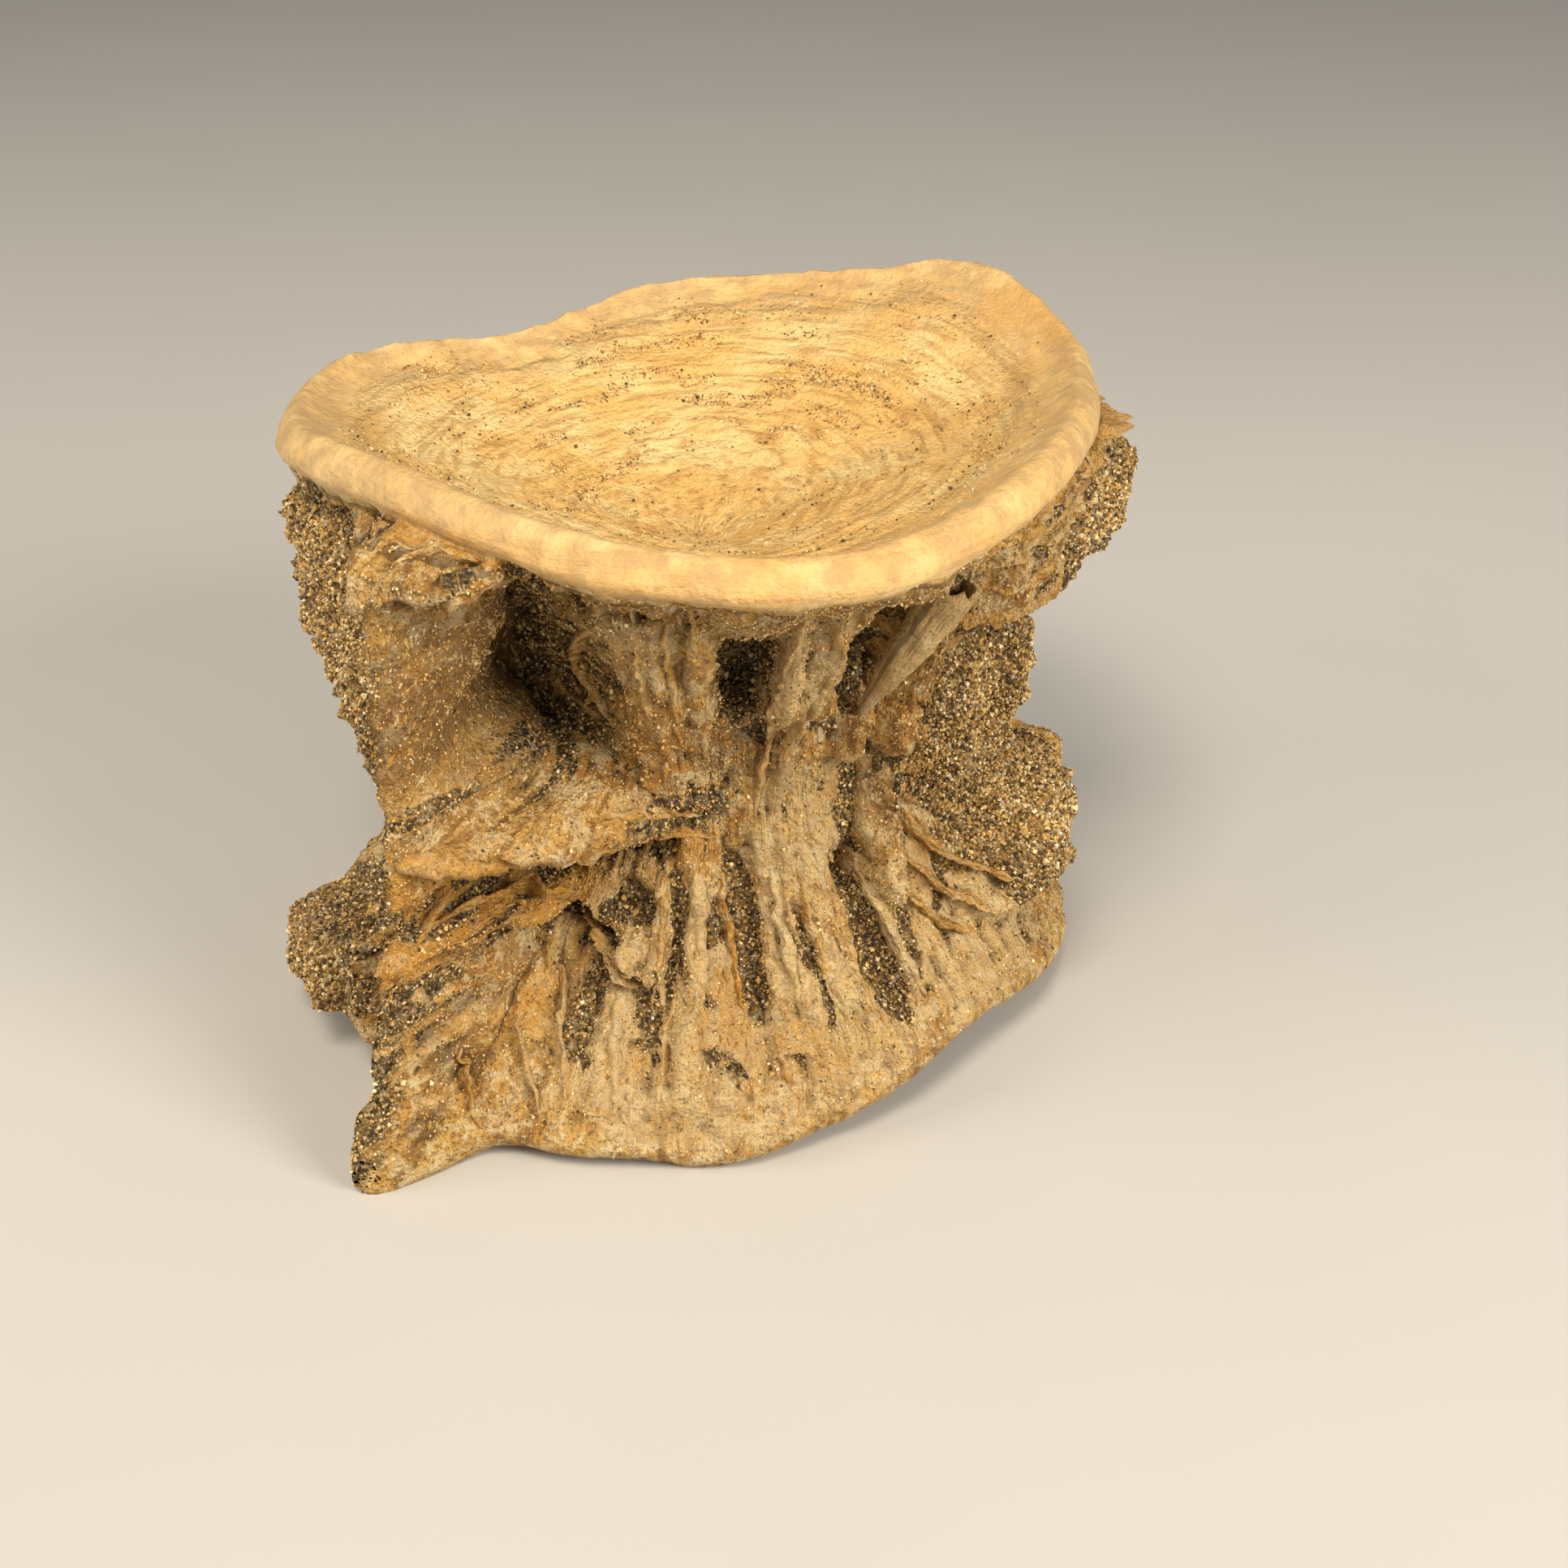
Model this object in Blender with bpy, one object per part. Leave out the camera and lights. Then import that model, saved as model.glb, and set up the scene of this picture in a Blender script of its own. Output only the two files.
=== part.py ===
"""Fossil vertebra of a large bony fish, standing on one end.

The bone is an hourglass: two hollow ends with thick lips, and between them a narrow waist with deep pits,
thin struts and broken plates. Sandy rock still clings to its sides. Every surface here is one closed skin
whose points are worked out from a compass angle and a place along the profile from the middle of the upper
cup to the middle of the lower cup. Lengths are in millimetres until a mesh is made. Angles are in degrees,
0 to the right, 90 to the back, 180 to the left and 270 to the front, as seen from above.
"""

import bpy
import numpy as np

METRES = 0.001

# Driving sizes of the bone, millimetres.
RIM_RADIUS = 27.0
UPPER_RIM_HEIGHT = 42.8
LOWER_RIM_HEIGHT = 0.5
WAIST_RADIUS = 14.8
WAIST_HEIGHT = 20.0
UPPER_CUP_FLOOR = 32.3
LOWER_CUP_FLOOR = 10.0
LIP = 3.5

# The box around the whole bone is centred on the origin by this move of the bone's own axis.
AXIS_X = -0.362
AXIS_Y = 1.407

# Grid of the skin: angle steps, crowded to the front, and rows in each span of the profile.
ANGLE_STEPS = 84
FRONT_CROWDING = 0.42
SPAN_ROWS = (2, 3, 3, 2, 2, 2, 4, 5, 5, 5, 5, 4, 2, 1, 2, 2, 2, 1)
SIDE_FIRST_SPAN = 6
SIDE_LAST_SPAN = 12

# Gap that keeps rock and bone apart, and the least thickness of a rock patch at its edge.
GAP = 0.42
EDGE = 0.45

# Humps and hollows of each rim and of the waist: angle, half width in degrees, change in millimetres.
UPPER_RIM_OUT = (
    (235, 30, -2.2),
    (290, 22, 1.2),
    (46, 13, 2.6),
    (124, 15, -2.2),
    (158, 18, 1.6),
    (345, 25, -0.8),
)
UPPER_RIM_UP = (
    (45, 18, 2.4),
    (128, 30, -2.7),
    (172, 20, -1.3),
    (222, 28, 1.5),
    (290, 20, -0.4),
    (335, 25, 1.0),
)
LOWER_RIM_OUT = (
    (204, 16, 2.2),
    (235.5, 7, 6.4),
    (252, 12, 2.0),
    (274, 12, 0.9),
    (320, 20, -2.4),
    (60, 25, 0.8),
    (130, 20, -1.0),
)
LOWER_RIM_UP = (
    (208, 12, 1.8),
    (235.5, 5, -1.6),
    (274, 9, -0.9),
    (320, 24, 2.2),
    (12, 18, -0.9),
    (60, 16, -0.9),
    (96, 14, 1.0),
    (140, 18, -0.9),
    (178, 14, 0.9),
)
WAIST_OUT = (
    (202, 22, 6.0),
    (342, 20, 5.6),
    (96, 22, 1.6),
    (300, 18, 1.4),
)

# Broken blocks that stand out to a flat face: direction and distance of the face, first and last angle,
# heights of the lower edge at those two angles, heights of the upper edge there, softness of the edges in
# millimetres.
BLOCKS = {
    "left process": (202, 24.0, 165, 233, 27.0, 17.0, 40.5, 40.5, 2.0),
    "left front corner": (256, 26.6, 229, 247, 37.0, 38.6, 43.0, 43.0, 0.9),
    "right process, front": (333, 24.9, 325, 4, 30.5, 31.0, 43.5, 43.5, 1.8),
    "right process, side": (8, 27.9, 358, 30, 31.0, 31.0, 43.5, 43.5, 1.8),
    "lower left wing": (204, 28.6, 188, 221, 1.0, 1.0, 6.5, 12.5, 2.0),
    "lower right lobe": (348, 25.0, 331, 10, 8.0, 6.5, 17.0, 17.0, 2.6),
    "back strut": (98, 22.5, 88, 108, 6.0, 6.0, 37.0, 37.0, 2.6),
}

# Ridges and plates: angle, height and crest radius at each end, half width in millimetres.
RIDGES = {
    "corner edge, upper": (231, 40, 29.0, 234, 22, 30.6, 1.9),
    "corner edge, lower": (234, 22, 30.6, 235.5, 1, 36.6, 1.9),
    "shelf under the cavity": (234, 22.0, 30.6, 264, 19.2, 15.8, 1.2),
    "lower plate": (234, 14.6, 33.2, 245, 13.7, 19.2, 0.8),
    "column of the front": (262, 38, 23.0, 264, 22, 15.9, 1.8),
    "middle strut": (272.5, 39, 24.4, 272, 23, 15.6, 1.0),
    "first strut": (288.5, 39, 25.2, 287.5, 22, 16.2, 0.8),
    "second strut": (293.5, 39, 25.4, 291, 22, 16.6, 0.8),
    "slanted strut": (311, 39, 25.4, 304, 24, 18.4, 1.1),
    "right ridge, upper": (317, 36, 23.4, 315, 21.5, 19.6, 0.9),
    "right ridge, lower": (315, 21.5, 19.6, 312, 13, 21.0, 0.9),
    "first lower strip": (272, 17, 15.4, 269, 4, 27.2, 1.1),
    "second lower strip": (288.5, 17, 16.0, 292, 4, 27.0, 1.0),
    "third lower strip": (298, 17, 16.8, 300, 6, 25.0, 0.9),
    "left fan rib": (248, 13.4, 20.4, 262, 10.2, 22.8, 0.8),
    "back left strut": (128, 38, 25.0, 136, 4, 26.4, 1.4),
    "back right strut": (52, 38, 27.0, 60, 4, 27.2, 1.4),
    "back middle strut": (74, 37, 24.0, 78, 20, 17.0, 1.0),
    "back lower strut": (112, 20, 17.0, 116, 4, 26.0, 1.1),
}

# Pits: angle and height of the middle, half width and half height in millimetres, lean in degrees, depth,
# and the direction that the pit is sunk in.
PITS = {
    "great cavity": (245.2, 30.0, 2.8, 7.4, 0, 7.0, 138),
    "upper middle pit": (281, 31.0, 1.9, 3.6, 0, 3.6, 95),
    "upper right pit": (301, 31.6, 2.1, 4.4, 12, 4.6, 120),
    "lower middle pit": (281, 11.4, 1.2, 4.6, 0, 2.4, 95),
    "lower right pit": (304, 11.4, 1.5, 4.6, 0, 2.6, 120),
    "lower left pit": (249, 10.6, 2.4, 3.0, 20, 2.2, 80),
    "left yellow hollow": (243, 17.6, 3.0, 2.2, 0, 3.6, 75),
    "right recess": (335, 24.0, 4.4, 8.0, 0, 2.6, 155),
    "back right pit": (66, 29, 3.6, 6.0, 0, 4.2, 246),
    "back left pit": (112, 29, 4.2, 6.5, 0, 4.2, 292),
    "back low right pit": (86, 12, 3.8, 5.0, 0, 3.4, 266),
    "back low left pit": (150, 13, 3.6, 5.0, 0, 3.4, 330),
    "right back pit": (36, 23, 3.6, 7.0, 0, 3.6, 216),
}
PIT_WALL = 0.7

# Patches of sandy rock on the skin: direction they face, first and last angle, lower edge at those two
# angles, upper edge, thickness at the middle.
ROCK_PATCHES = {
    "rock_left_face": (202, 172, 228, 30.5, 21.0, 38.0, 1.0),
    "rock_lower_left": (204, 193, 217, 3.2, 3.2, 9.6, 1.0),
    "rock_right_shoulder": (358, 338, 20, 33.4, 33.4, 38.6, 1.0),
    "rock_right_recess": (340, 324, 356, 9.0, 9.0, 26.0, 1.6),
    "rock_back": (110, 100, 122, 24.0, 24.0, 33.0, 1.8),
}

BONE_COLOUR = (0.70, 0.50, 0.25, 1)
ROCK_COLOUR = (0.36, 0.28, 0.19, 1)


def clear_scene():
    for obj in list(bpy.data.objects):
        bpy.data.objects.remove(obj, do_unlink=True)


def turn(angles, middle):
    """How far each angle lies from the middle one, -180 to 180 degrees."""
    return (angles - middle + 180) % 360 - 180


def humps(angles, table):
    """Sum of rounded humps round the compass."""
    total = np.zeros_like(angles)
    for middle, half_width, change in table:
        total += change * np.exp(-((turn(angles, middle) / half_width) ** 2))
    return total


def rise(values, low, high):
    """Smooth step from 0 at low to 1 at high."""
    part = np.clip((values - low) / (high - low), 0, 1)
    return part * part * (3 - 2 * part)


def compass(steps):
    """Angles round the bone, closest together at the front."""
    even = np.arange(steps) / steps * 2 * np.pi
    return np.degrees(even - FRONT_CROWDING * np.cos(even)) % 360


def profile_stations(angles):
    """Radius and height of the named stations of the profile at each angle, from top to bottom."""
    out = RIM_RADIUS + humps(angles, UPPER_RIM_OUT)
    top = UPPER_RIM_HEIGHT + humps(angles, UPPER_RIM_UP)
    low_out = RIM_RADIUS + humps(angles, LOWER_RIM_OUT)
    base = LOWER_RIM_HEIGHT + humps(angles, LOWER_RIM_UP)
    waist = WAIST_RADIUS + humps(angles, WAIST_OUT)
    deep = top - UPPER_CUP_FLOOR
    hollow = LOWER_CUP_FLOOR - base
    level = np.ones_like(angles)
    stations = (
        (0 * level, UPPER_CUP_FLOOR * level),
        (0.33 * out, UPPER_CUP_FLOOR + 0.32 * deep),
        (0.66 * out, UPPER_CUP_FLOOR + 0.63 * deep),
        (out - LIP, top - 0.40 * LIP),
        (out - 0.3 * LIP, top),
        (out + 0.1 * LIP, top - 0.5 * LIP),
        (out - 0.3 * LIP, top - LIP),
        (waist + 0.52 * (out - waist), top - 7.5),
        (waist + 0.16 * (out - waist), top - 14),
        (waist, WAIST_HEIGHT * level),
        (waist + 0.24 * (low_out - waist), base + 12.5),
        (waist + 0.64 * (low_out - waist), base + 6.5),
        (low_out - 0.1 * LIP, base + 0.8 * LIP),
        (low_out + 0.05 * LIP, base + 0.35 * LIP),
        (low_out - 0.35 * LIP, base),
        (low_out - LIP, base + 0.35 * LIP),
        (0.62 * low_out, base + 0.50 * hollow),
        (0.30 * low_out, base + 0.84 * hollow),
        (0 * level, LOWER_CUP_FLOOR * level),
    )
    return np.array(stations)


def spline_rows(stations, span_rows):
    """Rows of a smooth curve through the stations (Catmull-Rom), each span cut into its own number of rows."""
    rows = []
    place = []
    last = len(stations) - 1
    for span, count in enumerate(span_rows):
        before = stations[max(span - 1, 0)]
        start = stations[span]
        end = stations[span + 1]
        after = stations[min(span + 2, last)]
        for step in range(count):
            t = step / count
            bend = (end - before) * t + (2 * before - 5 * start + 4 * end - after) * t * t
            bend = bend + (3 * start - before - 3 * end + after) * t * t * t
            rows.append(start + 0.5 * bend)
            place.append(span + t)
    rows.append(stations[last])
    place.append(last)
    return np.array(rows), np.array(place)


def block_radius(angles, heights, radii, block):
    """Brings the skin out to a flat broken face inside the block's window."""
    facing, distance, first, final, low_first, low_final, high_first, high_final, soft = block
    middle = first + turn(np.array(final), first) / 2
    half = abs(turn(np.array(final), first)) / 2
    across = turn(angles, middle)
    share = np.clip((across + half) / (2 * half), 0, 1)
    low = low_first + (low_final - low_first) * share
    high = high_first + (high_final - high_first) * share
    soft_angle = np.degrees(soft / distance)
    window = rise(half - np.abs(across), -soft_angle, soft_angle)
    window = window * rise(heights, low - soft, low + soft) * rise(high - heights, -soft, soft)
    lean = np.cos(np.radians(np.clip(turn(angles, facing), -60, 60)))
    return radii + window * np.maximum(distance / lean - radii, 0)


def ridge_radius(angles, heights, radii, ridge):
    """Raises a crest of a given radius along a line on the side."""
    angle_a, height_a, radius_a, angle_b, height_b, radius_b, half_width = ridge
    size = (radius_a + radius_b) / 2
    along_x = np.radians(turn(np.array(angle_b), angle_a)) * size
    along_z = height_b - height_a
    x = np.radians(turn(angles, angle_a)) * size
    z = heights - height_a
    length = along_x**2 + along_z**2
    part = np.clip((x * along_x + z * along_z) / length, 0, 1)
    away = np.hypot(x - part * along_x, z - part * along_z)
    crest = radius_a + (radius_b - radius_a) * part
    return radii + np.exp(-((away / half_width) ** 2)) * np.maximum(crest - radii, 0)


def pit_share(angles, heights, radii, pit):
    """1 inside a pit, 0 outside, with a steep wall between."""
    middle, height, half_width, half_height, lean = pit[:5]
    x = np.radians(turn(angles, middle)) * np.maximum(radii, 12)
    z = heights - height
    leaning = np.radians(lean)
    across = x * np.cos(leaning) + z * np.sin(leaning)
    along = z * np.cos(leaning) - x * np.sin(leaning)
    reach = (np.abs(across / half_width) ** 3 + np.abs(along / half_height) ** 3) ** (1 / 3)
    wall = PIT_WALL / half_width
    return 1 - rise(reach, 1 - wall, 1 + wall)


def skin():
    """Points of the whole bone: rows by angles by xyz, and each point's angle, height and place."""
    angles = compass(ANGLE_STEPS)
    rows, place = spline_rows(profile_stations(angles), SPAN_ROWS)
    radii = rows[:, 0]
    heights = rows[:, 1]
    around = np.broadcast_to(angles, radii.shape)
    side = rise(place, SIDE_FIRST_SPAN - 0.5, SIDE_FIRST_SPAN + 0.5)
    side = side * (1 - rise(place, SIDE_LAST_SPAN - 0.3, SIDE_LAST_SPAN + 0.9))
    side = side[:, None]
    formed = radii.copy()
    for block in BLOCKS.values():
        formed = block_radius(around, heights, formed, block)
    for ridge in RIDGES.values():
        formed = ridge_radius(around, heights, formed, ridge)
    formed = radii + side * (formed - radii)
    radian = np.radians(around)
    points = np.stack([formed * np.cos(radian), formed * np.sin(radian), heights], axis=-1)
    for pit in PITS.values():
        depth, facing = pit[5:]
        share = side * pit_share(around, heights, radii, pit)
        inward = np.array([np.cos(np.radians(facing)), np.sin(np.radians(facing)), 0])
        points = points + (depth * share)[..., None] * inward
    points = spike_foot(points, around, place)
    points[..., 2] = np.maximum(points[..., 2], 0)
    return points, around, heights, place


def spike_foot(points, around, place):
    """Draws the lower rim out into the broken spike at the front left corner, down to the floor."""
    facing, reach, half_width = 235.5, 2.4, 4.0
    share = np.exp(-((turn(around, facing) / half_width) ** 2))
    share = share * np.exp(-(((place - 13) / 1.1) ** 2))[:, None]
    out = np.array([np.cos(np.radians(facing)), np.sin(np.radians(facing)), -0.25])
    return points + (reach * share)[..., None] * out


def material(name, colour, roughness):
    made = bpy.data.materials.new(name)
    made.use_nodes = True
    shader = made.node_tree.nodes["Principled BSDF"]
    shader.inputs["Base Color"].default_value = colour
    shader.inputs["Roughness"].default_value = roughness
    shader.inputs["Metallic"].default_value = 0
    return made


def mesh_object(name, points, faces, finish):
    """One closed mesh object, from points in millimetres about the bone's axis."""
    placed = (points + np.array([AXIS_X, AXIS_Y, 0])) * METRES
    mesh = bpy.data.meshes.new(name)
    mesh.from_pydata(placed.tolist(), [], faces)
    mesh.update()
    mesh.shade_smooth()
    mesh.set_sharp_from_angle(angle=np.radians(40))
    made = bpy.data.objects.new(name, mesh)
    made.data.materials.append(finish)
    bpy.context.scene.collection.objects.link(made)
    return made


def grid_faces(rows, columns, start, closed):
    """Quads between neighbouring rows, split later into triangles; closed joins the last column to the first."""
    faces = []
    for row in range(rows - 1):
        for column in range(columns if closed else columns - 1):
            beside = (column + 1) % columns
            a = start + row * columns + column
            b = start + row * columns + beside
            faces.append((a, a + columns, b + columns, b))
    return faces


def centrum(points):
    """The whole bone as one skin: the first and last rows shrink to the middle of each cup."""
    rows, columns = points.shape[:2]
    ring_points = points[1:-1].reshape(-1, 3)
    top = len(ring_points)
    every = np.vstack([ring_points, points[0, :1], points[-1, :1]])
    faces = grid_faces(rows - 2, columns, 0, True)
    last_ring = (rows - 3) * columns
    for column in range(columns):
        beside = (column + 1) % columns
        faces.append((top, column, beside))
        faces.append((top + 1, last_ring + beside, last_ring + column))
    return mesh_object("centrum", every, faces, material("fossil bone", BONE_COLOUR, 0.75))


def rock_patch(name, points, angles, heights, place, patch):
    """A crust of rock: the skin's own faces moved out by the gap, and again by a rounded thickness."""
    facing, first, final, low_first, low_final, high, thick = patch
    half = abs(turn(np.array(final), first)) / 2
    across = turn(angles, first + turn(np.array(final), first) / 2) / half
    low = low_first + (low_final - low_first) * (across + 1) / 2
    upward = (2 * heights - high - low) / (high - low)
    on_side = (place > SIDE_FIRST_SPAN) & (place < SIDE_LAST_SPAN + 0.5)
    inside = (np.abs(across) <= 1) & (np.abs(upward) <= 1) & on_side[:, None]
    rows, columns = inside.shape
    chosen = [face for face in grid_faces(rows, columns, 0, True) if all(inside.flat[i] for i in face)]
    used = sorted({i for face in chosen for i in face})
    new = {old: count for count, old in enumerate(used)}
    away = np.array([np.cos(np.radians(facing)), np.sin(np.radians(facing)), 0])
    under = points.reshape(-1, 3)[used] + GAP * away
    swell = EDGE + thick * (1 - across.flat[used] ** 4) * (1 - upward.flat[used] ** 4)
    over = under + swell[:, None] * away
    count = len(used)
    outer = [tuple(new[i] + count for i in face) for face in chosen]
    inner = [tuple(new[i] for i in face[::-1]) for face in chosen]
    sides = {(face[k], face[(k + 1) % 4]) for face in chosen for k in range(4)}
    walls = []
    for start, end in sorted(side for side in sides if side[::-1] not in sides):
        walls.append((new[start], new[end], new[end] + count, new[start] + count))
    every = np.vstack([under, over])
    return mesh_object(name, every, outer + inner + walls, material(name, ROCK_COLOUR, 0.9))


def main():
    clear_scene()
    points, angles, heights, place = skin()
    centrum(points)
    for name, patch in ROCK_PATCHES.items():
        rock_patch(name, points, angles, heights, place, patch)


main()
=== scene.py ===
"""Looks of the fossil vertebra: one fine skin of mineralised bone, thin broken plates and struts on it,
crusts of sandstone, and sand grains cemented to them. Skin, crusts and plates are grids of points. Lengths
are in millimetres about the bone's own axis until a mesh is made. Angles are in degrees, 0 to the right, 90
to the back, 180 to the left and 270 to the front, as seen from above.
"""

import bpy
import numpy as np
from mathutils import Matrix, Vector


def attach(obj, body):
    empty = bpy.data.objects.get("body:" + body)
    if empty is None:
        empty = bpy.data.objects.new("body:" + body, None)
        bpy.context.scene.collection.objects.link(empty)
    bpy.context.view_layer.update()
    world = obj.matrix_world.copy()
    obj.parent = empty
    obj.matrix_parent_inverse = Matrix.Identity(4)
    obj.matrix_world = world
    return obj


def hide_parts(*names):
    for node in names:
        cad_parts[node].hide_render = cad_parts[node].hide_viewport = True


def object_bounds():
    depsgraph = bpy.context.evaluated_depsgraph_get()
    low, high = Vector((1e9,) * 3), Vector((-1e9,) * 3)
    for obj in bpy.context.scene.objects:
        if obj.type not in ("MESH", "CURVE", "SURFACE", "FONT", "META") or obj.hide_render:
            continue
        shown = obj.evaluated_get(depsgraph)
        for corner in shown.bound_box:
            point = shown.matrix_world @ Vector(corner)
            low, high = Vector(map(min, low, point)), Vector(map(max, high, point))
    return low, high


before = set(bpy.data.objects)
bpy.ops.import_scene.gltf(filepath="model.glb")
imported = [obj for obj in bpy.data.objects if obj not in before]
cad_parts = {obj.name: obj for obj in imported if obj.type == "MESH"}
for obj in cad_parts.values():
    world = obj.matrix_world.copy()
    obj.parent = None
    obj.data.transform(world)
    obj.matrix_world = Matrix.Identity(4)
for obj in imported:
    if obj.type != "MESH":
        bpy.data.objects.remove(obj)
cad_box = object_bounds()

METRES = 0.001
# Moves points about the bone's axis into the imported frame.
AXIS = np.array([-0.362, 1.407, 0])
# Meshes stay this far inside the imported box. A crust stays further in, so that its grains keep their shape.
CLEAR = 0.02
GRAIN_ROOM = 0.22

# Driving sizes of the bone.
RIM_RADIUS = 27.0
UPPER_RIM_HEIGHT = 42.8
LOWER_RIM_HEIGHT = 0.5
WAIST_RADIUS = 14.8
WAIST_HEIGHT = 20.0
UPPER_CUP_FLOOR = 32.3
LOWER_CUP_FLOOR = 10.0
LIP = 3.5

# Fine grid of the skin: columns crowded to the front, and rows in each span of the profile.
COLUMNS = 310
FRONT_CROWDING = 0.48
SPAN_ROWS = (20, 30, 24, 9, 8, 8, 30, 31, 27, 28, 28, 20, 7, 5, 7, 12, 15, 12)
SIDE_FIRST_SPAN = 6
SIDE_LAST_SPAN = 12

# Humps and hollows of each rim and of the waist: angle, half width in degrees, change in millimetres.
UPPER_RIM_OUT = (
    (235, 30, -2.2),
    (290, 22, 1.2),
    (46, 13, 2.2),
    (26, 16, 1.9),
    (124, 15, -2.2),
    (158, 18, 1.6),
    (345, 25, -0.8),
)
LIP_WIDTH = (
    (85, 60, -1.7),
    (150, 25, -0.9),
    (285, 25, 0.5),
)
UPPER_RIM_UP = (
    (45, 18, 2.4),
    (128, 30, -2.7),
    (172, 20, -1.3),
    (222, 28, 1.5),
    (290, 20, -0.4),
    (335, 25, 1.0),
)
LOWER_RIM_OUT = (
    (204, 16, 2.2),
    (235.5, 7, 6.4),
    (252, 12, 2.0),
    (274, 12, 0.9),
    (320, 20, -1.7),
    (60, 25, 0.8),
    (130, 20, -1.0),
)
LOWER_RIM_UP = (
    (208, 12, 1.8),
    (235.5, 5, -1.6),
    (274, 9, -0.9),
    (320, 24, 2.2),
    (12, 18, -0.9),
    (60, 16, -0.9),
    (96, 14, 1.0),
    (140, 18, -0.9),
    (178, 14, 0.9),
)
WAIST_OUT = (
    (202, 22, 6.0),
    (342, 20, 5.6),
    (96, 22, 1.6),
    (300, 18, 1.4),
)

# Broken blocks that stand out to a flat face: direction and distance of the face, first and last angle,
# heights of the lower edge at those two angles, heights of the upper edge there, softness of the edges.
BLOCKS = {
    "left process": (202, 24.0, 165, 233, 27.0, 17.0, 40.5, 40.5, 1.2),
    "left front corner": (256, 26.6, 229, 247, 37.0, 38.6, 43.0, 43.0, 0.5),
    "right process, front": (333, 24.9, 325, 4, 30.5, 31.0, 43.5, 43.5, 1.6),
    "right process, side": (8, 27.9, 358, 30, 30.0, 30.0, 43.5, 43.5, 1.4),
    "right recess, side": (352, 21.0, 338, 12, 18.5, 18.5, 33.0, 33.0, 2.6),
    "lower left wing": (204, 28.6, 188, 221, 1.0, 1.0, 6.5, 12.5, 1.4),
    "lower right lobe": (348, 25.0, 331, 10, 8.0, 6.5, 17.0, 17.0, 2.4),
    "back strut": (98, 22.5, 88, 108, 6.0, 6.0, 37.0, 37.0, 2.0),
}
# How far clouds tear the edges of a block, in degrees and in millimetres.
BLOCK_TEAR_ANGLE = 2.6
BLOCK_TEAR_HEIGHT = 0.9

# Ridges and plates: angle, height and crest radius at each end, half width.
RIDGES = {
    "corner edge, upper": (231, 40, 29.0, 234, 22, 30.6, 1.5),
    "corner edge, lower": (234, 22, 30.6, 235.5, 1, 36.6, 1.5),
    "shelf under the cavity": (234, 21.6, 30.6, 264, 19.4, 16.2, 1.5),
    "lower plate": (234, 14.6, 33.2, 245, 13.7, 19.2, 0.7),
    "column of the front": (264, 39, 23.4, 266, 22, 16.2, 3.0),
    "middle strut": (272.5, 39, 24.4, 272, 23, 15.6, 1.0),
    "first strut": (288.5, 39, 25.2, 287.5, 22, 16.2, 0.7),
    "second strut": (293.5, 39, 25.4, 291, 22, 16.6, 0.7),
    "slanted strut": (314, 39, 25.2, 306, 24, 18.6, 1.0),
    "right ridge, upper": (317, 36, 23.4, 315, 21.5, 19.6, 0.7),
    "right ridge, lower": (315, 21.5, 19.6, 312, 13, 21.0, 0.7),
    "first lower strip": (272, 17, 15.4, 269, 4, 27.2, 1.0),
    "second lower strip": (288.5, 17, 16.0, 292, 4, 27.0, 0.9),
    "third lower strip": (298, 17, 16.8, 300, 6, 25.0, 0.8),
    "left fan rib": (248, 13.4, 20.4, 262, 10.2, 22.8, 0.7),
    "back left strut": (128, 38, 25.0, 136, 4, 26.4, 1.2),
    "back right strut": (52, 38, 27.0, 60, 4, 27.2, 1.2),
    "back middle strut": (74, 37, 24.0, 78, 20, 17.0, 0.9),
    "back lower strut": (112, 20, 17.0, 116, 4, 26.0, 0.9),
}

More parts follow.
